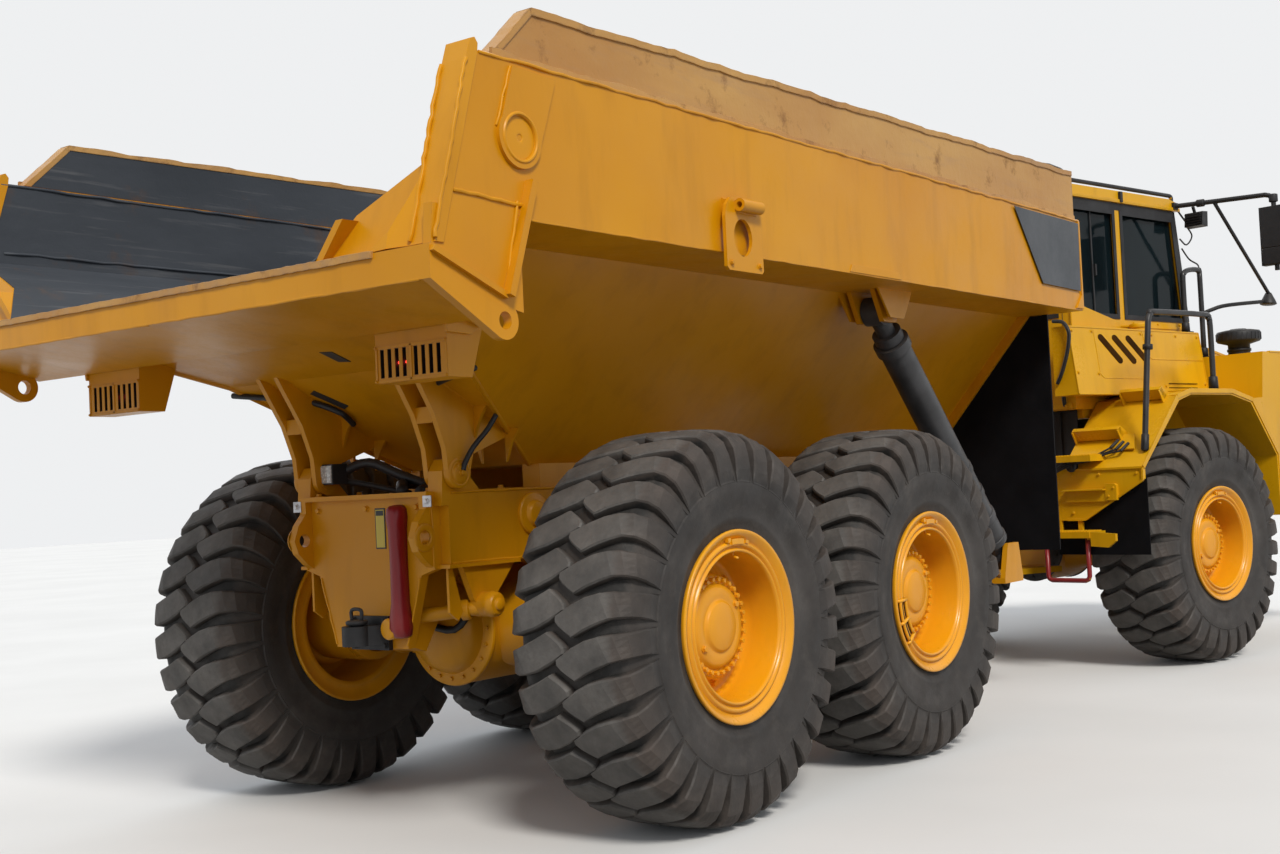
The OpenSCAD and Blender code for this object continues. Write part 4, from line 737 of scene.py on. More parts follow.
def flat(s, p, q, w, h, up=(0, 0, 1), mat=0):
    """A flat bar from p to q, w wide and h high."""
    p, q = Vector(p), Vector(q)
    t = (q - p).normalized()
    side = t.cross(Vector(up)).normalized() * (w / 2)
    top = side.cross(t).normalized() * (h / 2)
    return loft(s, [[c - side - top, c + side - top, c + side + top, c - side + top] for c in (p, q)], mat)


def weld(s, p, q, r=6, step=35, amount=2.2, mat=0):
    """A weld bead that wanders a little."""
    p, q = Vector(p), Vector(q)
    n = max(2, math.ceil((q - p).length / step) - 1)
    return s.tube([p + (q - p) * (i / n) + Vector(RNG.uniform(-amount, amount, 3)) for i in range(n + 1)], r, 6, mat)


@piece("rim_clamp", REAR, "wheel_mid_right", "rim_paint", [AMBER, BLACK])
def rim_clamp(s):
    at = lambda r, deg, y: (MID_AXLE + r * math.cos(math.radians(deg)), -y, AXLE_Z + r * math.sin(math.radians(deg)))
    for r in (290, 342):
        s.tube([at(r, a, 1403) for a in range(182, 221, 4)], 7.5, 8)
    for a in (183, 201, 219):
        s.tube([at(276, a, 1385), at(284, a, 1404), at(350, a, 1404), at(358, a, 1392)], 8.5, 8)
    rows = [[at(288, a, 1388), at(344, a, 1388), at(344, a, 1396), at(288, a, 1396)] for a in range(182, 221, 4)]
    loft(s, rows, 1)


@piece("bed_trim", REAR, "bed", "bed_paint", [OCHRE], 3)
def bed_trim(s):
    for k in (1, -1):
        out = lambda d: k * (BED_Y + d)
        # end post of the side wall with its rounded top, and the fillet that flares onto the lip
        s.prism([(-6303, 2176), (-6262, 2176), (-6070, 2815), (-6066, 2850), (-6080, 2868), (-6102, 2860),
                 (-6126, 2790)], k * 1346, out(6))
        loft(s, [[(-6300, k * 1347, 2176), (-6270, k * 1347, 2176), (-6205, k * 1347, 2420), (-6232, k * 1347, 2420)],
                 [(-6318, k * 1250, 2176), (-6280, k * 1250, 2176), (-6272, k * 1250, 2236), (-6304, k * 1250, 2236)],
                 [(-6322, k * 1175, 2172), (-6284, k * 1175, 2172), (-6284, k * 1175, 2178),
                  (-6322, k * 1175, 2178)]])
        for y in (out(6), k * 1346):
            weld(s, (-6304, y, 2190), (-6128, y, 2790), 8, 26, 3)
        weld(s, (-6210, out(2), 2353), (-5885, out(2), 2338), 7.5)
        weld(s, (-5905, out(2), 2350), (-5968, out(2), 2090), 6)
        # recess of the pad plate: a lip, a dished floor and a centre hole
        s.ring([(88, 13.5), (84, 19), (78, 19), (73.5, 12), (73.5, 6)], (-5885, out(0), 2565), (0, k, 0), 40)
        s.ring([(73.5, 6.5), (24, 8.5), (13, 8.5), (11, 4), (TIP, 4)], (-5885, out(0), 2565), (0, k, 0), 28)
        weld(s, (-5912, out(2), 2804), (-5990, out(2), 2590), 5)
        weld(s, (-5690, out(2), 2793), (-5788, out(2), 2540), 5)
        # bolts and weld of the side bracket
        for x in (-4702, -4500):
            s.bolt((x, out(40.5), 2245), (0, k, 0), 10, 9)
        weld(s, (-4695, out(2), 2505), (-4505, out(2), 2505), 6)
        weld(s, (-4655, out(41), 2453), (-4510, out(41), 2453), 5.5)
        # long seams under the boards and along the band's foot, front edge stiffener
        weld(s, (-6060, out(1), 2824), (BED_FRONT, out(1), 2824), 6.5, 60, 3)
        weld(s, (-5860, out(-4), 2293), (BED_FRONT, out(-4), 2293), 5, 80, 2)
        s.prism([(-1060, 2300), (BED_FRONT - 2, 2300), (BED_FRONT - 2, 2822), (-975, 2822), (-975, 2380)],
                out(-2), out(10))
        # foot plate over the hoist's ear, with its gussets
        s.prism([(-3700, 2296), (-3680, 2330), (-3240, 2330), (-3215, 2296)], k * 1050, out(4))
        for y in (1040, 1262):
            s.prism([(-3120, 2300), (-2760, 2300), (-2800, 2235), (-2860, 2150), (-3000, 2150)],
                    k * (y - 6), k * (y + 6))
        for i in range(7):
            t = i / 6
            s.bolt((BED_FRONT - 14.5, k * (470 + t * 570), 1620 + t * 640), (1, 0, 0), 11, 10)
        # lip plate's edge strip under the fascia
        weld(s, (-6318, k * 20, 2062), (-6318, k * 1400, 2062), 6, 70, 2)
        # posts behind the front spill board
        for y in (350, 1050):
            s.prism([(BED_FRONT + 1, 2300), (BED_FRONT + 34, 2340), (BED_FRONT + 70, 2800), (BED_FRONT + 55, 3020),
                     (BED_FRONT + 40, 3040), (BED_FRONT + 1, 2760)], k * (y - 22), k * (y + 22))


@piece("side_panel_dark", REAR, "bed", "dark_paint", [PANEL], 1)
def side_panel(s):
    for k in (1, -1):
        s.prism([(-1884, 2806), (-1545, 2408), (-995, 2403), (-980, 2806)],
                k * (BED_Y + 9), k * (BED_Y + 11.5))


@piece("bed_liner", REAR, "bed", "dark_paint", [SLATE])
def bed_liner(s):
    """Scraped dark steel over the inner faces of the bed."""
    outer = [(1353.5, 2822), (1353.5, 2470.5), (1043.5, 2320), (360, 1527)]
    inner = [(WALL_Y, 2822), (WALL_Y, 2474), (1040, 2324.5), (FLOOR_Y, 1532.5)]

    def rear(z):
        if z > 2176:
            return -6283 + (z - 2174) * 0.2995
        return -5425 - (z - 1932) * 3.72 if z > 1932 else -4678 - (z - 1530) * 1.858

    front = BED_FRONT - 62.5
    for k in (1, -1):
        for i, levels in enumerate(([2822, 2472.2], [2472.2, 2322.2], [2322.2, 2176, 1934, 1532])):
            for za, zb in zip(levels[:-1], levels[1:]):
                rows = []
                for z in (za, zb):
                    f = (levels[0] - z) / (levels[0] - levels[-1])
                    (yo, zo), (yi, zi) = ((line[i][0] + (line[i + 1][0] - line[i][0]) * f,
                                           line[i][1] + (line[i + 1][1] - line[i][1]) * f) for line in (outer, inner))
                    rows.append([(rear(z), k * yo, zo), (front, k * yo, zo), (front, k * yi, zi),
                                 (rear(z), k * yi, zi)])
                loft(s, rows if k < 0 else [r[::-1] for r in rows])
    s.prism([(front, 1527.5), (-4680, 1527.5), (-5427, 1930), (-6300, 2162.5), (-6300, 2169), (-5427, 1936.5),
             (-4678, 1533), (front, 1533)], -FLOOR_Y, FLOOR_Y)
    for k in (1, -1):
        ends = [(-4680, FLOOR_Y, 360, 1527.5), (-5427, FLOOR_Y, 704, 1930), (-6300, FLOOR_Y, 905, 2162.5)]
        for a, b in zip(ends[:-1], ends[1:]):
            rows = [[(x, k * y0, z), (x, k * y1, z), (x, k * y1, z + 6), (x, k * y0, z + 6)]
                    for x, y0, y1, z in (a, b)]
            loft(s, rows if k < 0 else [r[::-1] for r in rows])
    s.prism([(-FLOOR_Y, 1530), (FLOOR_Y, 1530), (1040, 2322.5), (WALL_Y, 2474), (WALL_Y, 2820), (-WALL_Y, 2820),
             (-WALL_Y, 2474), (-1040, 2322.5)], front - 3, front, "x")
    for k in (1, -1):
        s.prism([(-5962, 2830), (-5755, 3024), (BED_FRONT - 4, 3108), (BED_FRONT - 4, 2830)],
                k * 1360.2, k * 1363.2)
        for z in (2520, 2816):
            weld(s, (-6100, k * 1349.5, z), (BED_FRONT - 70, k * 1349.5, z), 7, 80, 3)


@piece("worn_edges", REAR, "bed", "board_steel", [BOARD], 2)
def worn_edges(s):
    """Rusty wear rail on the lip, and ragged strips along the boards' edges."""
    rows = []
    for i in range(81):
        y = -1195 + 2390 * i / 80
        h, b = (float(v) for v in RNG.uniform(-1.4, 1.4, 2))
        rows.append([(-6332 + b, y, 2152 + h), (-6332 + b, y, 2177 + h), (-6276 + b * 2, y, 2184 + h),
                     (-6276 + b * 2, y, 2158)])
    loft(s, rows)
    for k in (1, -1):
        rows, foot, rear = [], [], []
        n = 110
        wave = lambda u: 2.8 * math.sin(u * 0.0073) + 2.2 * math.sin(u * 0.019 + 1) + 1.2 * math.sin(u * 0.043)
        for i in range(n + 1):
            x = -5764 + (BED_FRONT + 5764) * i / n
            z = 3034 + 85 * (x + 5764) / 4811
            up, d = float(RNG.uniform(-1.6, 2)) + wave(x), float(RNG.uniform(-1, 2))
            rows.append([(x, k * 1357, z - 18), (x, k * (1357 + d), z + 6 + up), (x, k * (1430 + d), z + 6 + up),
                         (x, k * 1430, z - 22 + up)])
            xf = -5975 + (BED_FRONT + 5975) * i / n
            up = float(RNG.uniform(-3, 3)) + wave(xf + 2000)
            foot.append([(xf, k * 1420, 2828), (xf, k * 1420, 2858 + up), (xf, k * (1432 + d), 2856 + up),
                         (xf, k * (1434 + d), 2828)])
        for i in range(9):
            t = i / 8
            x, z = -5981 + 217 * t, 2828 + 206 * t
            d = float(RNG.uniform(-3, 3))
            rear.append([(x - 8 + d, k * 1358, z), (x - 8 + d, k * 1429, z), (x + 26, k * 1429, z),
                         (x + 26, k * 1358, z)])
        for r in (rows, foot, rear):
            loft(s, r if k > 0 else [q[::-1] for q in r])
    rows = []
    for i in range(71):
        y = -1405 + 2810 * i / 70
        z = 3190 - max(0, (abs(y) - 1170) / 240) * 71
        up = float(RNG.uniform(-1.5, 1.5)) + 3 * math.sin(y * 0.009)
        rows.append([(BED_FRONT - 6, y, z - 16), (BED_FRONT + 46, y, z - 16), (BED_FRONT + 46, y, z + 6 + up),
                     (BED_FRONT - 6, y, z + 6 + up)])
    loft(s, rows)


@piece("headboard_guard", REAR, "bed", "dark_paint", [BLACK], 3)
def headboard(s):
    arc = [(1405, 3118), (1360, 3160), (1290, 3198), (1170, 3232), (900, 3244), (0, 3246), (-900, 3244),
           (-1170, 3232), (-1290, 3198), (-1360, 3160), (-1405, 3118)]
    loft(s, [[(BED_FRONT - 8, y, z - 70), (BED_FRONT - 12, y, z - 4), (BED_FRONT + 10, y, z),
              (BED_FRONT + 52, y, z - 8), (BED_FRONT + 54, y, z - 70)] for y, z in arc])


@piece("chute_stiffeners", REAR, "bed", "bed_paint", [OCHRE], 2)
def under_bed(s):
    """Stiffeners under the chute, brackets of the lamp boxes, caps of the tipping hinge."""
    for k in (1, -1):
        # rolled seam along the chute's edge
        s.tube([(-4700, k * 366, 1500), (-5435, k * 712, 1900), (-6300, k * 915, 2136)], 12, 6)
        # hinge: raised cap, retaining plate and bolt
        s.ring([(64, -28), (65.5, -6), (64, 2), (52, 5), (47, 3), (42, 5), (38.5, 11), (30, 13.5), (TIP, 13.5)],
               (-5235, k * 471, 1470), (0, k, 0), 44)
        s.box((-5262, k * 480, 1480), (-5208, k * 490, 1498))
        s.bolt((-5235, k * 484.5, 1470), (0, k, 0), 13, 10)
        # web between the lugs' top and the chute, bracket beside the lamp box
        s.prism([(-5905, 2020), (-5896, 1950), (-5775, 1945), (-5735, 1975), (-5735, 1985)],
                k * 1079, k * 1092)
        flat(s, (-5905, k * 1090, 2024), (-5728, k * 1090, 1976), 60, 10)
        for y in (345, 455):
            weld(s, (-5100, k * (y + 16), 1722), (-5420, k * (y + 16), 1893), 6)


@piece("bed_hoses", REAR, "bed", "black_plastic", [HOSE])
def bed_hoses(s):
    """Dark strips that paint the shade in the slots under the chute, and the hoses of lamps and hinges."""

    def slot(x0, y0, x1, y1, w):
        p, q = Vector((x0, y0, chute_z(x0) - 1)), Vector((x1, y1, chute_z(x1) - 1))
        flat(s, p, q, w, 3, (0.45, 0, 1))

    # painted shade: thin dark strips on the chute's underside stand for its shaded slot openings
    slot(-5344, 278, -5216, 207, 55)
    slot(-5212, 555, -5096, 514, 50)
    slot(-5072, 478, -4924, 444, 50)
    slot(-5680, -207, -5564, -185, 62)
    slot(-5076, -310, -4924, -315, 50)
    slot(-5344, -278, -5216, -207, 50)
    for k in (-1, 1):
        s.tube([(-5400, k * 740, 1868), (-5340, k * 500, 1838), (-5292, k * 330, 1808), (-5224, k * 250, 1765),
                (-5188, k * 246, 1745), (-5124, k * 269, 1712)], 13, 8, steps=5)
        s.tube([(-5100, k * 560, 1700), (-5140, k * 545, 1640), (-5190, k * 510, 1570), (-5225, k * 496, 1510),
                (-5235, k * 492, 1480)], 11, 8, steps=5)


@piece("work_lamp", REAR, "rear_unit", "black_plastic", [HOSE])
def tail_lamp_body(s):
    """Working lamp between the hinges with its cables."""
    s.box((-5262, 262, 1452), (-5180, 352, 1540), 0)
    s.tube([(-5190, 300, 1500), (-5110, 200, 1540), (-5060, 60, 1480), (-5020, -80, 1425), (-4990, -150, 1398)], 22,
           8, steps=4)
    s.tube([(-5190, 320, 1470), (-5120, 240, 1450), (-5060, 120, 1418), (-5020, 40, 1397)], 14, 8, steps=4)


@piece("work_lamp_face", REAR, "rear_unit", "lamp_glass", [CLEAR_LENS], 2)
def lamp_face(s):
    s.box((-5268, 268, 1458), (-5261, 346, 1534), 0)
    for i in range(3):
        for j in range(3):
            s.box((-5270, 271 + i * 25, 1461 + j * 24), (-5267.5, 293 + i * 25, 1483 + j * 24), 0)


@piece("tail_lamps", REAR, "bed", "lamp_glass", [LAMP_SLOT_SHADE, LIT_LENS, SMOKED_LENS])
def tail_lamps(s):
    for k in (1, -1):
        for i in range(8):
            y = 750 + (i // 4) * 172 + (i % 4) * 38
            # painted shade: a dark back for each lamp slot, and thin dark sheets lining its walls
            s.box((-5871, k * (y - 9.8), 1812.2), (-5830, k * (y + 9.8), 1915.8))
            for w in (-9.9, 8.7):
                s.box((-5886, k * (y + w), 1812.2), (-5870, k * (y + w + 1.2), 1915.8))
            for z in (1812.1, 1914.7):
                s.box((-5886, k * y - 9.8, z), (-5870, k * y + 9.8, z + 1.2))
            s.ring([(TIP, 7), (6, 6), (8.8, 0)], (-5871, k * y, 1864), (-1, 0, 0), 12, 1 if i in (2, 3) else 2)


@piece("lamp_box_trim", REAR, "bed", "bed_paint", [OCHRE], 1.2)
def lamp_boxes(s):
    for k in (1, -1):
        # frame of each lamp grille, and its screws
        for z in (1800.5, 1923.5):
            flat(s, (-5889.5, k * 722, z), (-5889.5, k * 1074, z), 4, 10)
        for y in (722.5, 899, 1073):
            flat(s, (-5889.5, k * y, 1798), (-5889.5, k * y, 1926), 10, 4, (1, 0, 0))
        for y in (722.5, 1073):
            for z in (1800.5, 1923.5):
                s.bolt((-5891.5, k * y, z), (-1, 0, 0), 5, 4)


# ---------------------------------------------------------------- rear frame details
# The tail plate's face, the bogie beams' pivot, a sixth of a turn
TAIL_PLATE = -5315.5
PIVOT_X, PIVOT_Z = -3800, 1040
SIXTH = 1.047


@piece("lock_bar_casting", REAR, "rear_unit", "red_paint", [RED], stands_for=("lock_bar",))
def lock_bar(s):
    """The red bar as one rounded casting, bulbous at both ends."""
    half = [(806, 12, 0.4), (808, 22, 0.65), (818, 38, 0.86), (850, 46, 1.0), (892, 42, 0.97), (950, 33, 0.86),
            (1060, 31.5, 0.84), (1150, 31, 0.84), (1250, 34, 0.88), (1300, 40, 0.98), (1335, 36, 0.92),
            (1348, 24, 0.75), (1352, 10, 0.45)]
    rows = []
    for z, w, d in half:
        row = []
        for j in range(15):
            a = math.pi * j / 14
            row.append((-5316.5 - 71 * d * math.sin(a) ** 0.65, -205 + w * math.copysign(abs(math.cos(a)) ** 0.75,
                    math.cos(a)), z))
        rows.append(row)
    loft(s, rows, 0, True)


@piece("rear_frame_trim", REAR, "rear_unit", "bed_paint", [OCHRE], 2.5)
def frame_trim(s):
    for k in (1, -1):
        y = k * 440
        # boss and its rings on the rail, rail welds, ball seat of the rod
        s.ring([(92, -2), (92, 10), (86, 16), (58, 18), (52, 30), (46, 36), (20, 38), (TIP, 38)], (-4770, y, 1287),
               (0, k, 0), 40)
        weld(s, (-5260, y, 1104), (-3100, y, 1104), 6, 70, 2)
        weld(s, (-5260, y, 1392), (-2000, y, 1392), 6, 70, 2)
        s.ring([(52.5, 0), (54.5, 12), (50, 36), (40, 46), (26, 48), (24, 58), (14, 64), (TIP, 64)],
               (-5080, k * 462, 925), (0, k, 0), 36)
        for a in range(6):
            s.bolt((-5080 + 40 * math.cos(a * SIXTH), k * 470, 925 + 40 * math.sin(a * SIXTH)), (0, k, 0), 6, 34)
        # panhard rod from the seat towards the tail box, with a clamp bolt
        s.rod((-5080, k * 455, 915), (-5230, k * 200, 885), 30, 20)
        s.ring([(34, -20), (43, -16), (43, 16), (34, 20)], (-5130, k * 370, 905), (-0.5, -k * 0.85, -0.1), 24)
        # inner gusset of the pocket beside the tail plate
        s.prism([(-5270, 1085), (-5245, 1085), (-5195, 905), (-5222, 870), (-5270, 905)], k * 404, k * 418)
        # bolts of the towing ears and along the top plate
        s.ring([(58, -1), (58, 5), (52, 8), (34, 8), (28.5, 4)], (-5360, k * 383, 1216), (0, k, 0), 32)
        for x in (-5280, -5050, -4850):
            s.bolt((x, k * 335, 1400.3), (0, 0, 1), 13, 12)
        # rail fish plates between the axles and the pivot's cap
        s.ring([(75, 0), (75, 12), (68, 20), (30, 22), (26, 30), (TIP, 30)], (PIVOT_X, k * 690, PIVOT_Z), (0, k, 0),
               36)
        for a in range(6):
            s.bolt((PIVOT_X + 52 * math.cos(a * SIXTH), k * 711, PIVOT_Z + 52 * math.sin(a * SIXTH)), (0, k, 0), 9, 9)
        s.prism([(-3300, 1130), (-2640, 1130), (-2580, 1180), (-2580, 1330), (-3360, 1330), (-3360, 1180)],
                y, k * 450)
        for i in range(8):
            for z in (1165, 1300):
                s.bolt((-3300 + i * 95, k * 450, z), (0, k, 0), 11, 10)
    # tail plate: edge welds and the rim of the lower box
    for k in (1, -1):
        weld(s, (TAIL_PLATE, k * 385, 1370), (TAIL_PLATE, k * 385, 1090), 5)
        weld(s, (TAIL_PLATE, k * 300, 1050), (TAIL_PLATE, k * 214, 770), 5)
    for y in (-300, 0, 300):
        s.bolt((TAIL_PLATE, y, 1340), (-1, 0, 0), 12, 10)
    s.ring([(44, -4), (44, 60), (38, 66), (18, 68), (TIP, 68)], (TAIL_PLATE, -166, 846), (-1, 0, 0), 28)


def axle_side(s, x, k):
    """Half of an axle's round cover with its bolts, and the ring of its tube."""
    s.ring([(258, -12), (262, 0), (258, 10), (250, 13), (205, 16), (196, 50), (170, 85), (120, 105), (TIP, 112)],
           (x + k * 210, 0, AXLE_Z), (k, 0, 0), 48)
    s.bolts((x + k * 222, 0, AXLE_Z), (k, 0, 0), 228, 20, 10, 10)
    s.ring([(131, 0), (150, 4), (150, 26), (131, 30)], (x, k * 500, AXLE_Z), (0, k, 0), 40)


@piece("bogie_axle_trim", REAR, "rear_unit", "bed_paint", [OCHRE], 2)
def axle_trim(s):
    """Covers, ribs and bolts of the two bogie axles, and the spring pads."""
    for x0 in (REAR_AXLE, MID_AXLE):
        for k in (1, -1):
            axle_side(s, x0, k)
            for i in range(5):
                a = math.radians(-30 + 60 * i)
                c, d = math.cos(a), math.sin(a)
                flat(s, (x0, k * 235, AXLE_Z), (x0, k * 470, AXLE_Z), 16, 300, (c, 0, d))
            s.ring([(150, 0), (188, 10), (188, 50), (150, 60)], (x0, k * 705, AXLE_Z), (0, k, 0), 40)
            # spring pad between the axle and the beam
            for z in (935, 958, 981):
                s.box((x0 - 97, k * 554, z), (x0 + 97, k * 696, z + 10))


@piece("rear_frame_lines", REAR, "rear_unit", "black_plastic", [HOSE])
def frame_black(s):
    for k in (1, -1):
        # brake lines along the rails and down to the axles
        s.tube([(-950, k * 452, 1205), (-1800, k * 452, 1250), (-2400, k * 462, 1360), (PIVOT_X, k * 452, 1360),
                (-4550, k * 452, 1350)], 10, 8, steps=3)
        s.tube([(-950, k * 468, 1185), (-1800, k * 466, 1228), (-2400, k * 470, 1340), (PIVOT_X, k * 458, 1338),
                (-4620, k * 458, 1330)], 8, 8, steps=3)
        for x in (REAR_AXLE, MID_AXLE):
            s.tube([(x + 280, k * 450, 1330), (x + 320, k * 500, 1240), (x + 220, k * 530, 1100),
                    (x + 120, k * 500, 990), (x + 80, k * 470, 925)], 12, 8, steps=5)
            s.rod((x + 80, k * 470, 930), (x + 70, k * 468, 905), 19, 12)
    # coupling: bolts, pin head with its handle, chain
    for y in (-105, 81):
        for z in (775, 875):
            s.bolt((-5337.5, y, z), (-1, 0, 0), 13, 12)
    s.ring([(31, -45), (31, 4), (44, 6), (46, 18), (40, 24), (TIP, 26)], (-5405, -12, 860), (0, 0, 1), 28)
    s.tube([(-5405, -40, 880), (-5405, -40, 925), (-5405, 16, 925), (-5405, 16, 880)], 8, 8, steps=4)
    # hoses under the top plate and down behind the tail box
    s.tube([(-5200, -100, 1405), (-5050, 50, 1440), (-4850, 120, 1430), (-4600, 260, 1370), (-4400, 385, 1290)], 26,
           10, steps=4)
    s.tube([(-5180, -180, 1405), (-5000, -60, 1425), (-4800, 100, 1405), (-4600, 280, 1330), (-4500, 385, 1250)], 20,
           10, steps=4)
    s.tube([(-5100, 170, 900), (-5000, 50, 840), (-4950, -120, 800), (-4930, -220, 920), (-4960, -320, 1050),
            (-4960, -383, 1140)], 16, 8, steps=4)


@piece("tail_label", REAR, "rear_unit", "dark_paint", [BLACK, LABEL], 0.4)
def tail_label(s):
    s.box((-5317.5, -112, 1172), (-5315.2, -52, 1341), 0)
    s.box((-5318.5, -107, 1178), (-5317.2, -57, 1335), 1)
    s.box((-5319.2, -104, 1310), (-5318.2, -60, 1331), 0)


@piece("tail_clips", REAR, "rear_unit", "rod_steel", [PALE_PLATE], 1)
def tail_clips(s):
    for k in (1, -1):
        s.box((-5352.5, k * 372, 1338), (-5348.5, k * 420, 1384))
        s.bolt((-5353.5, k * 396, 1361), (-1, 0, 0), 10, 8)


# ---------------------------------------------------------------- hoists and bogie beams
@piece("hoist_barrel_bands", REAR, "hoist_barrels", "dark_paint", [CYLINDER], 1.5)
def hoist_trim(s):
    foot, eye = Vector((-1635, 0, 880)), Vector((-2935, 0, 2195))
    t = (eye - foot).normalized()
    n = Vector((-t.z, 0, t.x))
    for k in (1, -1):
        base = foot + Vector((0, k * 1150, 0))
        for d in (160, 340, 520, 700):
            s.ring([(82.5, -22), (88, -20), (88, 20), (82.5, 22)], base + t * d, t, 36)
            s.bolt(base + t * d + n * 92, n, 10, 10)
        s.ring([(40, -2), (52, 0), (52, 10), (46, 14), (20, 16), (TIP, 16)], base + Vector((0, k * 60, 0)), (0, k, 0),
               28)
        # oil pipe along the barrel with its hose
        s.tube([base + t * 100 + n * 98, base + t * 500 + n * 100, base + t * 720 + n * 98, base + t * 760 + n * 78],
               12, 8, steps=3)


# ---------------------------------------------------------------- cab
# Ends and line of the rails along the fenders, the mirror's arm, the cab's side wall and floor
RAIL_END = {1: 1130, -1: 1335}
RAIL_Y = 1330
ARM_Y = 850
CAB_SIDE = 759.5
CAB_FLOOR = 1820.5


def rail_path(k):
    """From the foot on the arch up, forwards and down again."""
    end = RAIL_END[k]
    foot = 1350 + (395 - 305) * 455 / 460
    return [(395, k * 1345, foot + 12), (440, k * 1341, foot + 272), (535, k * 1332, 2240), (553, k * RAIL_Y, 2318),
            (582, k * RAIL_Y, 2352), (625, k * RAIL_Y, 2366), (end - 75, k * RAIL_Y, 2370),
            (end - 22, k * RAIL_Y, 2348), (end, k * RAIL_Y, 2295), (end, k * RAIL_Y, 1846)]


@piece("rails_smooth", FRONT, "front_unit", "black_plastic", [RAIL_BLACK, BLACK], stands_for=("handrails",))
def rails(s):
    for k in (1, -1):
        s.tube(rail_path(k), 19.5, 14, steps=4)
    s.tube([(1850, -ARM_Y, 2310.5), (1850, -ARM_Y, 2700), (1868, -ARM_Y, 2752), (1920, -ARM_Y, 2779),
            (2030, -ARM_Y, 2792), (2076, -ARM_Y, 2780), (2090, -ARM_Y, 2730), (2090, -ARM_Y, 2130.5)], 19.5, 14,
           steps=4)
    # rubber feet and clamps
    for k, x in RAIL_END.items():
        s.ring([(21, 100), (30, 95), (34, 0), (21, 0)], (x, k * RAIL_Y, 1846), (0, 0, 1), 20, 1)
        s.box((x - 45, k * RAIL_Y - 40, 1845.5), (x + 45, k * RAIL_Y + 40, 1856), 1)
        p, q = Vector(rail_path(k)[0]), Vector(rail_path(k)[1])
        t = (q - p).normalized()
        s.ring([(20, 110), (25, 105), (26, 10), (20, 0)], p, t, 20, 1)
        s.ring([(21, -18), (33, -16), (33, 16), (21, 18)], (520, k * 1333.5, 2130), (0.1, 0, 0.99), 20, 1)
    for x, z in ((1850, 2310.5), (2090, 2130.5)):
        s.box((x - 40, -890, z), (x + 40, -810, z + 10), 1)
        s.ring([(21, 70), (28, 65), (31, 0), (21, 0)], (x, -ARM_Y, z + 8), (0, 0, 1), 20, 1)


def frame_strip(s, outline, a, b, w, axis, mat=0):
    """A rubber surround along a closed outline, w wide."""
    n = len(outline)
    turn = 1 if signed_area(outline) > 0 else -1
    inner = []
    for i in range(n):
        p, q, r = (Vector(outline[(i + d) % n]) for d in (-1, 0, 1))
        u, v = (q - p).normalized(), (r - q).normalized()
        nu, nv = Vector((-u.y, u.x)) * turn, Vector((-v.y, v.x)) * turn
        m = (nu + nv)
        m = m / m.dot(nu)
        inner.append(tuple(q + m * w))
    place = {"y": lambda p, t: (p[0], t, p[1]), "x": lambda p, t: (t, p[0], p[1])}[axis]
    verts = [place(p, t) for t in (a, b) for line in (outline, inner) for p in line]
    faces = []
    for i in range(n):
        j = (i + 1) % n
        faces += [(i, j, n + j, n + i), (2 * n + i, 2 * n + j, 3 * n + j, 3 * n + i), (i, j, 2 * n + j, 2 * n + i),
                  (n + i, n + j, 3 * n + j, 3 * n + i)]
    return s.add(verts, faces, mat)


@piece("cab_black_parts", FRONT, "front_unit", "black_plastic", [BLACK], 1.2)
def cab_black(s):
    """Dark front pillars, a black band under the eaves that paints the roof's shadow over the side windows, and what
    hangs from the mirror's arm on the right.
    """
    for k in (1, -1):
        s.prism([(2004, 2399), (2058, 2412), (1932, 3228), (1905, 3181)], k * 759.7, k * 764)
        # painted shadow: black band where the roof's edge shades the tops of the side windows
        s.prism([(548, 3180), (1920, 3180), (1928, 3230), (548, 3230)], k * 759.7, k * 764)
    s.box((1175, -791, 3236), (1205, -768, 3312))
    # working lamp under the arm, with its cables
    s.prism([(2020, 3115), (2100, 3108), (2108, 3222), (2035, 3218)], -935, -790)
    s.rod((2055, -862, 3215), (2030, -862, 3262), 12, 12)
    for i in range(5):
        s.box((2010, -925, 3125 + i * 18), (2022, -800, 3133 + i * 18))
    s.tube([(2020, -800, 3160), (1985, -790, 3200), (1975, -770, 3240)], 7, 8, steps=4)
    s.tube([(2025, -800, 3130), (2120, -790, 3060), (2060, -775, 2990), (1985, -766, 3030)], 6, 8, steps=5)
    s.tube([(2000, -768, 2960), (2060, -790, 2880), (2120, -820, 2840), (2090, -850, 2800)], 6, 8, steps=5)
    # splash guard below the cab, ribbed, open round the hitch
    s.prism([(-700, 1300), (-700, 1758), (700, 1758), (700, 1300), (420, 1250), (-420, 1250)], 616, 624, "x")
    for y in (-560, -280, 0, 280, 560):
        s.box((604, y - 12, 1310), (617, y + 12, 1750))
    # stay of the mirror's arm and the outrigger it stands on
    s.tube([(1965, -1072, 3250), (2690, -1100, 2566)], 14, 10)
    loft(s, [[(1950, y, 3262), (2000, y, 3262), (2010, y, 3200), (1990, y, 3215)] for y in (-1078, -1068)])
    s.tube([(2092, -852, 2462), (2150, -900, 2490), (2260, -970, 2520), (2690, -1100, 2556)], 15, 10, steps=4)
    s.ring([(TIP, 60), (22, 55), (50, 0), (62, -30), (50, -36), (TIP, -36)], (2650, -1090, 2560), (0.1, 0, 1), 24)
    # hose that loops out behind the box
    s.tube([(262, -790, 2350), (252, -870, 2336), (240, -915, 2290), (238, -927, 2235), (240, -905, 2132),
            (250, -850, 2004), (262, -800, 1930)], 13, 8, steps=5)


@piece("window_fairing", FRONT, "front_unit", "cab_paint", [LEMON], 3)
def window_fairing(s):
    s.prism([(500, 2312), (500, 2498), (590, 2484), (1020, 2392), (1100, 2372), (1100, 2312)], -779, -766.5)


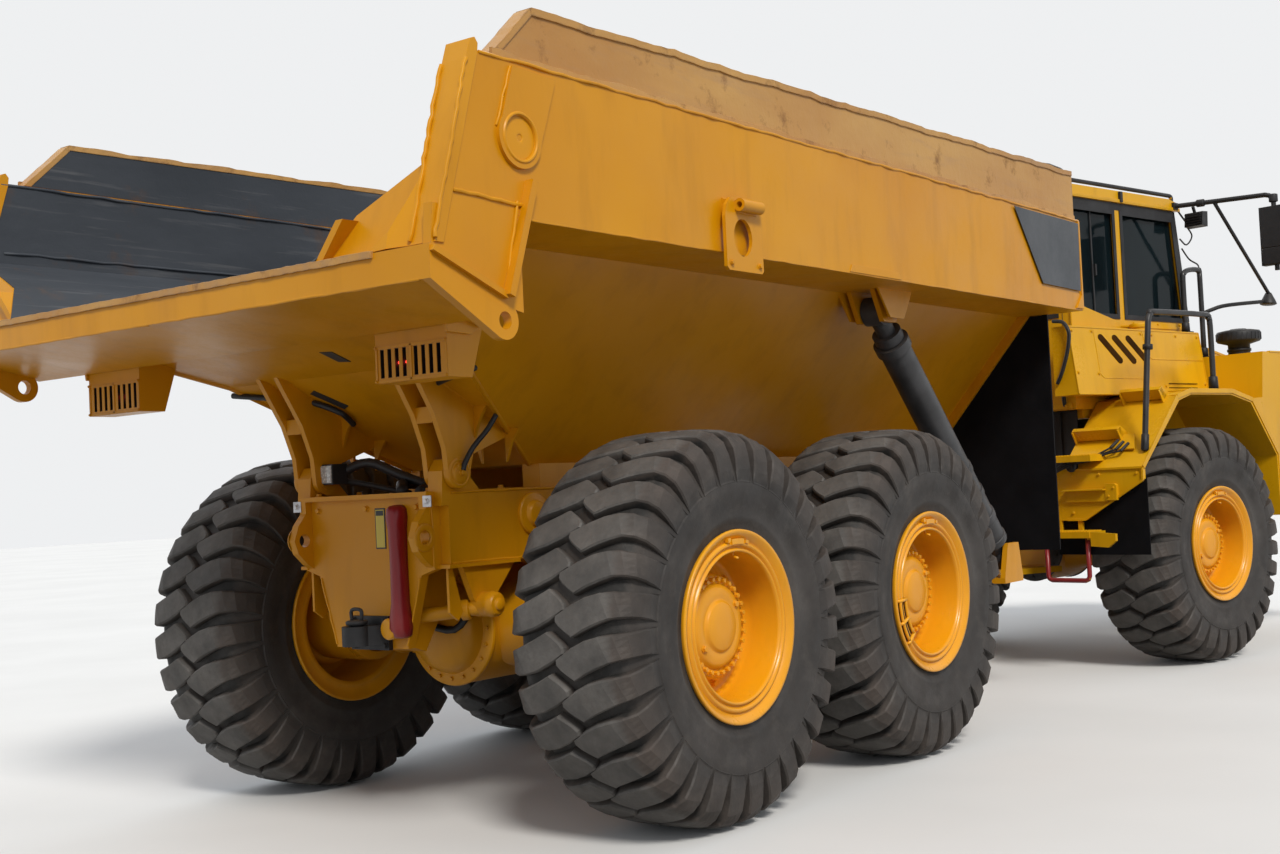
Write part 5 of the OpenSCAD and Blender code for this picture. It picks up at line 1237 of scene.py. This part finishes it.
@piece("cab_rubber", FRONT, "front_unit", "black_plastic", [BLACK], 1.2)
def cab_rubbers(s):
    rear_win = [(578, 2398), (1123, 2398), (1123, 3180), (578, 3180)]
    front_win = [(1187, 2398), (2003, 2398), (1907, 3180), (1187, 3180)]
    for k, outline in ((1, rear_win), (-1, rear_win), (-1, front_win)):
        frame_strip(s, outline, k * CAB_SIDE, k * 766.5, 34, "y")
    frame_strip(s, [(-664, 2396), (664, 2396), (664, 3162), (-664, 3162)], 521.5, 514, 36, "x")
    # sliding pane's bar and catch in the rear side windows
    for k in (1, -1):
        s.box((842, k * 728, 2428), (858, k * 742, 3150))
        s.box((866, k * 737, 2700), (884, k * 752, 2780))
    # rear wiper with its arm, and the blind's roll inside
    s.ring([(22, 0), (22, 14), (16, 22), (TIP, 22)], (520.5, -20, 2362), (-1, 0, 0), 20)
    s.tube([(505, -20, 2362), (496, 30, 2480), (500, 100, 2640), (520, 160, 2780)], 7, 8, steps=3)
    s.tube([(526, 130, 2520), (526, 190, 3040)], 9, 6)
    # windscreen wiper and surround
    s.ring([(24, 0), (24, 16), (18, 24), (TIP, 24)], (2060.5, -250, 2318), (1, 0, 0), 20)
    s.tube([(2078, -250, 2318), (2090, -180, 2460), (2060, -50, 2680), (2030, 100, 2920)], 8, 8, steps=3)
    foot, sill, head = ([(x, y, z) for y in (-690, 690)] for x, z in ((2061.5, 2345), (2061.5, 2410), (1933, 3172)))
    for a, b in (foot, (foot[0], sill[0]), (foot[1], sill[1]), (sill[0], head[0]), (sill[1], head[1]), head):
        s.tube([a, b], 13, 8)
    # roof rails
    for y in (740, -740):
        s.tube([(560, y, 3313), (560, y, 3338), (568, y, 3348), (585, y, 3353), (1915, y, 3353), (1932, y, 3348),
                (1940, y, 3338), (1940, y, 3300)], 15.2, 12)
    # cables and hoses behind the cab
    s.tube([(536, -700, 3250), (528, -700, 2300), (500, -695, 2050), (488, -690, 1880), (500, -685, 1800),
            (530, -680, 1785)], 14, 8, steps=4)
    s.tube([(505, -450, 2383), (470, -450, 2315), (480, -450, 2060), (460, -450, 1988), (470, -440, 1760),
            (580, -400, 1440), (720, -350, 1240), (785, -330, 1180)], 20, 10, steps=4)
    s.tube([(510, -380, 2300), (480, -385, 2150), (470, -390, 1950), (480, -380, 1700), (580, -340, 1420),
            (720, -300, 1200), (785, -290, 1150)], 13, 8, steps=4)


@piece("cab_panels", FRONT, "front_unit", "cab_paint", [LEMON], 2.5)
def cab_steel(s):
    # gutter under the roof, raised roof panel, seams
    for k in (1, -1):
        s.box((496, k * 760, 3232), (1984, k * 782, 3242))
        s.box((496, k * 774, 3238), (1984, k * 782, 3256))
    s.prism([(620, 3314), (1760, 3314), (1720, 3330), (660, 3330)], -560, 560)
    s.prism([(800, 3329), (1260, 3329), (1240, 3338), (820, 3338)], -300, 300)
    s.box((488, -770, 3228), (522, 770, 3240))
    # rear wall: two pressed ribs, corner folds, bolted flange above the floor
    for y in (-400, 0, 400):
        s.prism([(y - 110, 1900), (y + 110, 1900), (y + 90, 2320), (y - 90, 2320)], 512.5, 521, "x")
    for k in (1, -1):
        s.box((512, k * 700, 1770), (522, k * 760.5, 3232))
        s.box((512, k * CAB_SIDE, 1770), (575, k * 766.5, 3232))
    s.box((500, -740, 1768), (521, 740, 1806))
    for i in range(11):
        s.bolt((500, -700 + 140 * i, 1787), (-1, 0, 0), 10, 9)
    # sill panel seam and lashing points on the right
    s.box((580, -766.5, 2345), (2040, -CAB_SIDE, 2360))
    for x in (660, 1020, 1300, 1620, 1920):
        s.bolt((x, -760.5, 2378), (0, -1, 0), 7, 6)
    # door sill and lower skirt of the left side
    s.box((1195, CAB_SIDE, 1790), (1990, 770, 1836))


@piece("door_rubber", FRONT, "door", "black_plastic", [BLACK], 1)
def door_trim(s):
    frame_strip(s, [(1258, 2038), (1932, 2038), (1932, 2406), (1846, 3110), (1258, 3110)], CAB_SIDE, 766, 32, "y")
    s.box((1800, CAB_SIDE, 1945), (1900, 772, 1985))
    s.tube([(1812, 772, 1965), (1812, 800, 1965), (1888, 800, 1965), (1888, 772, 1965)], 8, 8)
    s.tube([(1250, 760, 1900), (1250, 760, 2000)], 10, 8)
    for z in (1920, 2000):
        s.bolt((1250, 760.5, z), (0, 1, 0), 7, 6)


@piece("door_panel", FRONT, "door", "cab_paint", [LEMON], 1.8)
def door_skin(s):
    s.box((1300, CAB_SIDE, 1892), (1760, 765.5, 2008))
    s.box((1215, CAB_SIDE, 1868), (1975, 768, 1880))
    for x in (1230, 1500, 1750, 1960):
        s.bolt((x, 760.5, 1874), (0, 1, 0), 6, 9)


@piece("mirror_faces", FRONT, "front_unit", "glass", [MIRROR], 1.5)
def mirror_faces(s):
    for k in (1, -1):
        y = k * 1490
        s.box((1994.5, y - 88, 2872), (2000.5, y + 88, 3146), 0)
        s.box((1994.5, y - 88, 2754), (2000.5, y + 88, 2858), 0)


@piece("mirror_backs", FRONT, "front_unit", "black_plastic", [BLACK], 3)
def mirror_shells(s):
    for k in (1, -1):
        y = k * 1490
        # rounded backs and rims round each face
        for z0, z1 in ((2866, 3158), (2744, 2862)):
            rows = []
            for d, g in ((-6.5, 0), (20, 4), (50, -4), (66, -24), (73, -55)):
                y0, y1, a, b = y - 98 - g, y + 98 + g, z0 - g, z1 + g
                c = 22
                rows.append([(2000 + d, y0 + c, a), (2000 + d, y1 - c, a), (2000 + d, y1, a + c),
                             (2000 + d, y1, b - c), (2000 + d, y1 - c, b), (2000 + d, y0 + c, b),
                             (2000 + d, y0, b - c), (2000 + d, y0, a + c)])
            loft(s, rows)
        s.ring([(20, -30), (31, -26), (31, 26), (20, 30)], (2030, y, 3218), (0, 0, 1), 16)
        s.ring([(20, -30), (28, -26), (28, 26), (20, 30)], (1950, k * 970, 3263), (0.15, k * 0.98, -0.03), 16)


# ---------------------------------------------------------------- seat and controls


@piece("seat_pad", FRONT, "front_unit", "seat_fabric", [CLOTH], stands_for=("seat",))
def cushion(s):
    """Crowned cushion with rolled edges and a stitched middle."""
    rows = []
    for i in range(21):
        u = i / 20
        x = 846 + 536 * u
        e = min(1.0, math.sin(math.pi * min(1.0, max(0.0, u))) * 2.2)
        w = 232 + 40 * e ** 0.6
        row = []
        for j in range(28):
            a = 2 * math.pi * j / 28
            c, d = math.cos(a), math.sin(a)
            y = w * math.copysign(abs(c) ** 0.42, c)
            top = 2152 + 18 * math.sin(math.pi * u) - 16 * math.exp(-((abs(y) - 150) / 12) ** 2) * (0.1 < u < 0.92)
            low = 2012
            h = (top - low) / 2 * (0.55 + 0.45 * e)
            row.append((x, y, (top + low) / 2 + h * math.copysign(abs(d) ** 0.5, d)))
        rows.append(row)
    loft(s, rows, 0, True)


@piece("seat_back_pad", FRONT, "front_unit", "seat_fabric", [CLOTH], stands_for=("seat",))
def back_rest(s):
    rows = []
    for i in range(23):
        u = i / 22
        z = 2140 + 662 * u
        mid = 910 - 62 * u
        e = min(1.0, math.sin(math.pi * u) * 2.6)
        w = (225 + 35 * e ** 0.6) * (1 - 0.16 * max(0, u - 0.6))
        t = 30 + 36 * e ** 0.5
        row = []
        for j in range(28):
            a = 2 * math.pi * j / 28
            c, d = math.cos(a), math.sin(a)
            y = w * math.copysign(abs(c) ** 0.42, c)
            dent = 12 * math.exp(-((abs(y) - 150) / 14) ** 2) * (d > 0) * (0.08 < u < 0.9)
            row.append((mid + t * math.copysign(abs(d) ** 0.55, d) - dent, y, z))
        rows.append(row)
    loft(s, rows, 0, True)


@piece("cab_controls", FRONT, "front_unit", "black_plastic", [BLACK], 2, stands_for=("seat",))
def seat_parts(s):
    # suspension bellows, arm rests, belt buckle
    s.box((880, -200, CAB_FLOOR), (1270, 200, 1860))
    rows = []
    for i in range(13):
        g = 12 if i % 2 else -6
        z = 1862 + i * 12.5
        rows.append([(892 - g, -186 - g, z), (1258 + g, -186 - g, z), (1258 + g, 186 + g, z), (892 - g, 186 + g, z)])
    loft(s, rows)
    for k in (1, -1):
        s.tube([(885, k * 285, 2300), (1000, k * 292, 2335), (1200, k * 292, 2340)], 26, 10, steps=3)
        s.rod((900, k * 235, 2300), (890, k * 292, 2300), 22, 12)
        s.box((1020, k * 275 - 12, 2100), (1060, k * 275 + 12, 2185))
    # head rest on two stalks
    for y in (-70, 70):
        s.tube([(850, y, 2790), (842, y, 2850)], 9, 8)
    rows = []
    for i in range(9):
        u = i / 8
        e = math.sin(math.pi * u) ** 0.4
        rows.append([(840 + (24 + 28 * e) * math.cos(a), (100 + 50 * e) * math.sin(a),
                      2835 + 125 * u) for a in (2 * math.pi * j / 20 for j in range(20))])
    loft(s, rows, 0, True)
    # side consoles with levers
    for k in (1, -1):
        s.prism([(1000, CAB_FLOOR), (1560, CAB_FLOOR), (1540, 2190), (1420, 2235), (1020, 2190)], k * 400, k * 560)
        s.tube([(1430, k * 480, 2220), (1445, k * 480, 2320)], 9, 8)
        s.ring([(TIP, 55), (20, 48), (26, 26), (18, 0)], (1445, k * 480, 2310), (0, 0, 1), 16)
        for i in range(4):
            s.box((1100 + i * 60, k * 480 - 18, 2200), (1135 + i * 60, k * 480 + 18, 2216))
    # pedals, steering column's shroud, wheel hub and instrument hood
    for y in (-160, 120):
        s.prism([(1640, 1830), (1655, 1822), (1720, 1930), (1705, 1938)], y - 45, y + 45)
    s.ring([(TIP, 30), (50, 24), (62, 0), (50, -20)], (1560, 0, 2430), (-0.42, 0, 0.91), 24)
    s.tube([(1575, 0, 2415), (1790, 0, 2305)], 40, 12)
    s.prism([(1785, 2325), (1880, 2345), (1860, 2470), (1812, 2480)], -200, 200)
    for y in (-300, -240, 240, 300):
        s.box((1800, y - 20, 2330), (1850, y + 20, 2352))
    s.box((586, -690, CAB_FLOOR), (1980, 690, 1828))


@piece("gauges", FRONT, "front_unit", "lamp_glass", [GAUGE_LENS])
def gauges(s):
    for y in (-120, -30, 60, 140):
        s.ring([(TIP, 4), (30, 3), (34, 0)], (1798.5, y, 2405), (-0.985, 0, 0.17), 20)


# ---------------------------------------------------------------- box, fenders, steps
BOX_TOP, BOX_FOOT = 2310, 1845.3
FENDER_SIDE = 1360.5


def lean(z):
    """Y of the right box's side, which leans outwards on its way down."""
    return -900 - 60 * (BOX_TOP - z) / (BOX_TOP - BOX_FOOT)


@piece("box_seams", FRONT, "front_unit", "cab_paint", [LEMON], 1.2)
def box_trim(s):

    def on(x, z, d=0):
        return (x, lean(z) - d, z)

    def strip_on(points, w, d):
        for (x0, z0), (x1, z1) in zip(points[:-1], points[1:]):
            u = Vector((x1 - x0, z1 - z0)).normalized()
            m = Vector((-u.y, u.x)) * w / 2
            rows = [[on(x - m.x, z - m.y, d), on(x + m.x, z + m.y, d), on(x + m.x, z + m.y, -4),
                     on(x - m.x, z - m.y, -4)] for x, z in ((x0, z0), (x1, z1))]
            loft(s, rows)

    # folded seams of the box and the lid of its front part
    strip_on([(272, 1850), (272, 2306), (1928, 2306), (1928, 1850), (272, 1850)], 10, 4)
    strip_on([(1167, 2300), (1193, 2126), (1239, 2101), (1926, 2101)], 7, 3.5)
    strip_on([(560, 2290), (560, 1990), (600, 1960), (1160, 1960)], 6, 3)
    for x, z in ((300, 1995), (300, 2280), (535, 2280), (540, 1990), (1360, 1910), (1898, 1925), (1140, 2280),
                 (900, 1880), (1280, 2275), (1600, 2275), (1890, 2275)):
        s.bolt(on(x, z), (0, -1, -0.12), 9, 8)
    # top: filler cap with its ring, hand hold and anti slip plate
    s.box((330, -885, 2309), (1060, -785, 2313.5))
    s.ring([(55, 0), (55, 20), (64, 24), (64, 46), (58, 52), (TIP, 54)], (1240, -835, 2309.5), (0, 0, 1), 32)
    # plate and bolts of the left box
    for x, z in ((300, 1880), (300, 2280), (1110, 1880), (1110, 2280), (700, 2280)):
        s.bolt((x, -lean(z), z), (0, 1, -0.12), 9, 8)
    s.box((330, 785, 2309), (1060, 885, 2313.5))


@piece("louvre_shade_plates", FRONT, "front_unit", "black_plastic", [LOUVRE_SHADE])
def louvres(s):
    # painted shade: dark plates just proud of the box's side, where the louvre slots are shaded inside
    for i in range(3):
        mids = [(634 + 170 * i, 2241), (828 + 170 * i, 2084)]
        ring = []
        for (cx, cz), a0 in ((mids[0], 40), (mids[1], 220)):
            ring += [(cx + 34 * math.cos(math.radians(a0 + a)) * (1.0 if abs(a - 90) > 60 else 0.9),
                      cz + 22 * math.sin(math.radians(a0 + a))) for a in range(-10, 191, 25)]
        ring = [(x, lean(z) - 2, z) for x, z in ring]
        m = len(ring)
        s.add([(x, y - 1.2, z) for x, y, z in ring] + [(x, y + 4, z) for x, y, z in ring],
              [tuple(range(m)), tuple(range(m, 2 * m))[::-1]] + [(a, (a + 1) % m, m + (a + 1) % m,
                m + a) for a in range(m)])
    for z in (1895, 1925):
        s.box((1400, -958, z), (1780, -952, z + 4))


ARCH = [(305, 1350), (765, 1805), (935, 1845), (1480, 1845), (1765, 1785), (2100, 1395), (2110, 950)]


@piece("mud_flaps", FRONT, "front_unit", "flap_rubber", [FLAP], 1)
def mud_flaps(s):
    for k in (1, -1):
        s.prism([(k * 690, 1040), (k * 690, 780), (k * 1385, 780), (k * 1385, 1290), (k * 1300, 1290)], 331.5, 339,
                "x")
        for y, z in ((800, 1025), (900, 1035), (1080, 1120), (1260, 1222)):
            s.bolt((330, k * y, z - 30), (-1, 0, 0), 9, 8)


@piece("fender_edges", FRONT, "front_unit", "cab_paint", [LEMON], 1.5)
def fender_trim(s):
    for k in (1, -1):
        # bright flange along the arch's edge
        for (x0, z0), (x1, z1) in zip(ARCH[:-1], ARCH[1:]):
            up = (0, 0, 1) if abs(x1 - x0) > 20 else (1, 0, 0)
            flat(s, (x0, k * 1383, z0 - 4), (x1, k * 1383, z1 - 4), 8, 30, up)
        # skirt: folded edge, yellow pad with its bar, bolts
        edge = [(794, 1345), (1376, 1345), (1376, 1262), (932, 1014), (794, 1014)]
        for (y0, z0), (y1, z1) in zip(edge[:-1], edge[1:]):
            flat(s, (300, k * y0, z0), (300, k * y1, z1), 14, 12, (1, 0, 0))
        s.prism([(k * 1106, 1139), (k * 1190, 1139), (k * 1190, 1235), (k * 1175, 1247), (k * 1106, 1247)], 280, 306,
                "x")
        s.box((286, k * 795, 1132), (306, k * 1108, 1216))
        s.box((248, k * 795, 1206), (290, k * 1108, 1216))
        for y, z in ((1130, 1165), (1168, 1220)):
            s.bolt((280, k * y, z), (-1, 0, 0), 7, 6)
        for y, z in ((840, 1310), (1050, 1310), (1330, 1310), (840, 1060)):
            s.bolt((305, k * y, z), (-1, 0, 0), 9, 8)
        # top ledge's plate, and the ribs across the arch
        s.box((945, k * 975, 1843), (1470, k * 1300, 1850))
        for x, z in ((780, 1810), (930, 1846), (1485, 1846)):
            weld(s, (x, k * 980, z), (x, k * 1378, z), 5)
        # front housing: seams and lamp bezel
        s.box((2090, k * 1340, 2124), (2400, k * 1364, 2136))
        for p, q in (((2400, 2130), (3300, 1700)), ((3300, 1700), (3500, 1400))):
            flat(s, (p[0], k * 1361, p[1] - 4), (q[0], k * 1361, q[1] - 4), 8, 20)
        for x in (2200, 2550, 2900, 3200):
            s.bolt((x, k * FENDER_SIDE, 1330), (0, k, 0), 10, 9)


@piece("step_treads", FRONT, "front_unit", "cab_paint", [LEMON], 1)
def step_steel(s):
    """Treads, the bars of the ladder and the bracket steps on the right and left arch."""
    for k in (1, -1):
        # anti slip teeth on both steps
        for i in range(17):
            y = k * (690 + i * 21.5)
            s.box((150, y - 4, 938.5), (318, y + 4, 946.5))
        for i in range(12):
            y = k * (785 + i * 23.5)
            s.box((206, y - 4, 1438.5), (372, y + 4, 1446.5))
        # bracket steps standing off the slope
        for x, z, y0, y1 in ((494, 1543.5, 780, 1137), (752, 1794.5, 998, 1304)):
            nx, nz = -0.703, 0.711
            rows = []
            for y in (k * y0, k * y1):
                rows.append([(x - 12, y, z - 6), (x - 12 + nx * 85, y, z + nz * 85),
                             (x + 12 + nx * 85, y, z + nz * 85 + 20), (x + 16, y, z + 16)])
            loft(s, rows)
            for y in (k * y0, k * (y1 - 10)):
                loft(s, [[(x - 30, yy, z - 30), (x + nx * 110, yy, z + nz * 70), (x + nx * 85 + 20, yy, z + nz * 115),
                          (x + 50, yy, z + 35)] for yy in (y, y + k * 10)])
        # plate with its connectors beside the slope's step
        loft(s, [[(504 - d, k * 1108, 1560 + d), (499 - d, k * 1214, 1560 + d), (400 - d, k * 1268, 1462 + d),
                  (405 - d, k * 1108, 1462 + d)] for d in (0, 8)])
        # lowest step's end plate
        s.prism([(k * 1061, 846), (k * 1190, 838), (k * 1248, 880), (k * 1248, 926), (k * 1061, 940)], 150, 174, "x")
        for y in (720, 1030):
            s.bolt((175, k * y, 899.5), (0, 0, -1), 12, 10)


@piece("step_loops", FRONT, "front_unit", "red_paint", [RED])
def step_loops(s):
    for k in (1, -1):
        s.tube([(180, k * 700, 899), (180, k * 700, 650), (180, k * 709, 629), (180, k * 730, 620),
                (180, k * 990, 620), (180, k * 1011, 629), (180, k * 1020, 650), (180, k * 1020, 899)], 15.8, 12)


@piece("front_lines", FRONT, "front_unit", "black_plastic", [HOSE])
def front_lines(s):
    for k in (-1, 1):
        # connectors and harness that run down beside the ladder
        for i in range(3):
            s.rod((452 - i * 12, k * (1118 + i * 45), 1530 - i * 12),
                  (380 - i * 12, k * (1100 + i * 45), 1480 - i * 12), 10.5, 12)
            s.tube([(384 - i * 12, k * (1100 + i * 45), 1482 - i * 12), (345, k * (1020 + i * 30), 1440),
                    (318, k * (930 + i * 20), 1400), (285, k * 840, 1372 + i * 12), (262, k * 760, 1340 + i * 12),
                    (320, k * 640, 1290), (560, k * 460, 1230), (786, k * 350, 1185 + i * 12)], 6.5, 8, steps=4)
        s.ring([(40, 0), (40, 30), (32, 36), (TIP, 36)], (318, k * 848, 1372), (-1, 0, 0), 20)
    # hose bundle over the hitch, in the front unit
    for i in range(5):
        y = -240 + i * 120
        s.tube([(778, y, 1190 - 20 * (i % 2)), (640, y * 0.95, 1225), (480, y * 0.85, 1230),
                (330, y * 0.8, 1235 + 12 * (i % 2)), (200, y * 0.7, 1245), (120, y * 0.6, 1262)], 19, 8, steps=4)
    s.box((60, -175, 1129), (170, 175, 1290))
    # lamp cables at the eaves, intake's clamp
    for k in (1, -1):
        s.tube([(1985, k * 630, 3240), (1960, k * 630, 3222), (1925, k * 660, 3205)], 7, 8, steps=3)
    s.ring([(79, 0), (86, 2), (86, 20), (79, 22)], (2220, -1060, 2160), (0, 0, 1), 32)


@piece("air_intake_cap", FRONT, "front_unit", "black_plastic", [BLACK], stands_for=("air_intake",))
def intake(s):
    c = (2220, -1060, 0)
    s.ring([(78.5, 2130.5), (78.5, 2212), (150, 2233), (157.5, 2246), (158.5, 2296), (150, 2310), (100, 2320),
            (62, 2323.5), (56, 2328.5), (TIP, 2330)], c, (0, 0, 1), 56)
    for i in range(28):
        a = 2 * math.pi * i / 28
        p = Vector((2220 + 158.5 * math.cos(a), -1060 + 158.5 * math.sin(a), 0))
        flat(s, p + Vector((0, 0, 2244)), p + Vector((0, 0, 2296)), 6, 4, (math.cos(a), math.sin(a), 0))


@piece("hood_trim", FRONT, "hood", "cab_paint", [LEMON], 2)
def hood_trim(s):
    # raised middle, side louvres, latches, edge seams

    def slope(x):
        return 2330 - (x - 2100) * 150 / 800 if x < 2900 else 2180 - (x - 2900) * 352 / 924

    for a, b in ((2140, 2880), (2920, 3760)):
        rows = [[(x, -300, slope(x) - 4), (x, 300, slope(x) - 4), (x, 270, slope(x) + 14),
                 (x, -270, slope(x) + 14)] for x in (a, b)]
        loft(s, rows)
    for k in (1, -1):
        for i in range(9):
            x = 2920 + i * 70
            s.box((x, k * 607, 1700), (x + 40, k * 618, 1860 - i * 8))
        flat(s, (2105, k * 612, 2318), (2900, k * 612, 2170), 6, 18)
        flat(s, (2900, k * 612, 2170), (3820, k * 612, 1822), 6, 18)
        for x in (2200, 2750, 3550):
            s.bolt((x, k * 610.5, 1900 if x < 3500 else 1680), (0, k, 0), 12, 10)


@piece("nose_grille", FRONT, "front_unit", "black_plastic", [BLACK], 1)
def nose_trim(s):
    # slats and mesh of the grille, bumper's mat, tow pins
    for i in range(8):
        z = 1286 + i * 32
        s.box((3902.5, -478, z + 1), (3910.5 + i * 1.2, 478, z + 14.5))
    for y in (-480, -240, 0, 240, 480):
        s.box((3902, y - 8, 1272), (3913, y + 8, 1545))
    s.box((3810, -1100, 1234.5), (3960, 1100, 1239.5))
    for k in (1, -1):
        s.ring([(34, 0), (34, 14), (26, 18), (TIP, 18)], (3973.5, k * 620, 1130), (1, 0, 0), 28)
        for y in (300, 950):
            for z in (1100, 1190):
                s.bolt((3974, k * y, z), (1, 0, 0), 12, 10)


@piece("front_lenses", FRONT, "front_unit", "lamp_glass", [CLEAR_LENS])
def front_lenses(s):
    for k in (1, -1):
        # head lamps: two round reflectors under a clear pane
        base = Vector((3300.3, 0, 1700.3)) + Vector((66.7, 0, -100)) * 1.4 + Vector((40, 0, 27))
        out = Vector((0.832, 0, 0.555))
        for y in (850, 1030):
            s.ring([(TIP, -4), (46, 2), (60, 6), (66, 6), (68, 0)], base + Vector((0, k * y, 0)), out, 32, 0)
        for row in (0, 1, 2):
            for y in (585, 630, 675):
                s.box((2059.5, k * y - 19, 3247.5 + row * 13.5), (2064, k * y + 19, 3257.5 + row * 13.5), 0)


@piece("side_markers", FRONT, "front_unit", "lamp_glass", [AMBER_LENS], 1.5)
def side_markers(s):
    for k in (1, -1):
        s.ring([(TIP, 16), (30, 12), (36, 0)], (3380, k * FENDER_SIDE, 1460), (0, k, 0), 24)


@piece("front_machinery", FRONT, "front_unit", "cast_dark", [CAST], 2)
def front_axle_trim(s):
    for k in (1, -1):
        axle_side(s, FRONT_AXLE, k)
        for z in (1040, 1070, 1100, 1130, 1160, 1190):
            s.bolt((820, k * 400.5, z), (0, k, 0), 10, 8)
        for i in range(10):
            s.bolt((1600 + i * 200, k * 400.5, 1195), (0, k, 0), 11, 9)
    # engine block: sump, covers and fan
    s.box((2300, -220, 1190), (3150, 220, 1245))
    for i in range(6):
        x = 2240 + i * 170
        s.box((x, -190, 1748), (x + 130, 190, 1790))
        for y in (-160, 160):
            s.bolt((x + 65, y, 1790), (0, 0, 1), 12, 12)
    s.ring([(90, 0), (90, 60), (50, 80), (TIP, 80)], (3300, 0, 1500), (1, 0, 0), 32)
    for i in range(8):
        a = 2 * math.pi * i / 8
        c, d = math.cos(a), math.sin(a)
        loft(s, [[(3335, r * c + 50 * d, 1500 + r * d - 50 * c), (3345, r * c + 50 * d, 1500 + r * d - 50 * c),
                  (3385, r * c - 50 * d, 1500 + r * d + 50 * c),
                  (3375, r * c - 50 * d, 1500 + r * d + 50 * c)] for r in (80, 220)])
    for k in (1, -1):
        s.tube([(2450, k * 360, 1660), (2800, k * 380, 1700), (3100, k * 360, 1620), (3220, k * 340, 1500)], 45, 12,
               steps=4)


# ---------------------------------------------------------------- stage and light
FLOOR = 60.0


def make_stage():
    """A pale floor under an even sky. Both are paler where they are seen than what they throw as light."""
    me = bpy.data.meshes.new("floor")
    me.from_pydata([(-FLOOR, -FLOOR, 0), (FLOOR, -FLOOR, 0), (FLOOR, FLOOR, 0), (-FLOOR, FLOOR, 0)], [],
                   [(0, 1, 2, 3)])
    n = Nodes("floor_pale")
    pale = n.mix(n.noise(0.5, 3), (0.7, 0.7, 0.69), (0.74, 0.74, 0.73))
    me.materials.append(n.done(n.mix(n.in_sight(), (0.26, 0.25, 0.23), pale), 0.9))
    floor = add_object("floor", me, Matrix.Translation((0, 0, -0.002)))
    world = bpy.data.worlds.new("studio")
    bpy.context.scene.world = world
    world.use_nodes = True
    t = Tree(world.node_tree)
    mix = t.node("ShaderNodeMixShader")
    t.link(t.in_sight(), mix.inputs[0])
    for i, colour, strength in ((1, (0.9, 0.94, 1.0, 1), 0.62), (2, (0.86, 0.87, 0.88, 1), 1.0)):
        sky = t.node("ShaderNodeBackground")
        sky.inputs[0].default_value, sky.inputs[1].default_value = colour, strength
        t.link(sky.outputs[0], mix.inputs[i])
    t.link(mix.outputs[0], t.node("ShaderNodeOutputWorld").inputs[0])
    for name, energy, angle, rot in (("key", 2.6, 14, (48, 0, -38)), ("fill", 0.7, 60, (62, 0, 130))):
        lamp = bpy.data.lights.new(name, "SUN")
        lamp.energy = energy
        lamp.angle = math.radians(angle)
        lamp.color = (1.0, 0.96, 0.9) if name == "key" else (0.9, 0.95, 1.0)
        add_object(name, lamp, Euler([math.radians(a) for a in rot]).to_matrix().to_4x4())
    bpy.context.scene.view_settings.view_transform = "Standard"


make_stage()
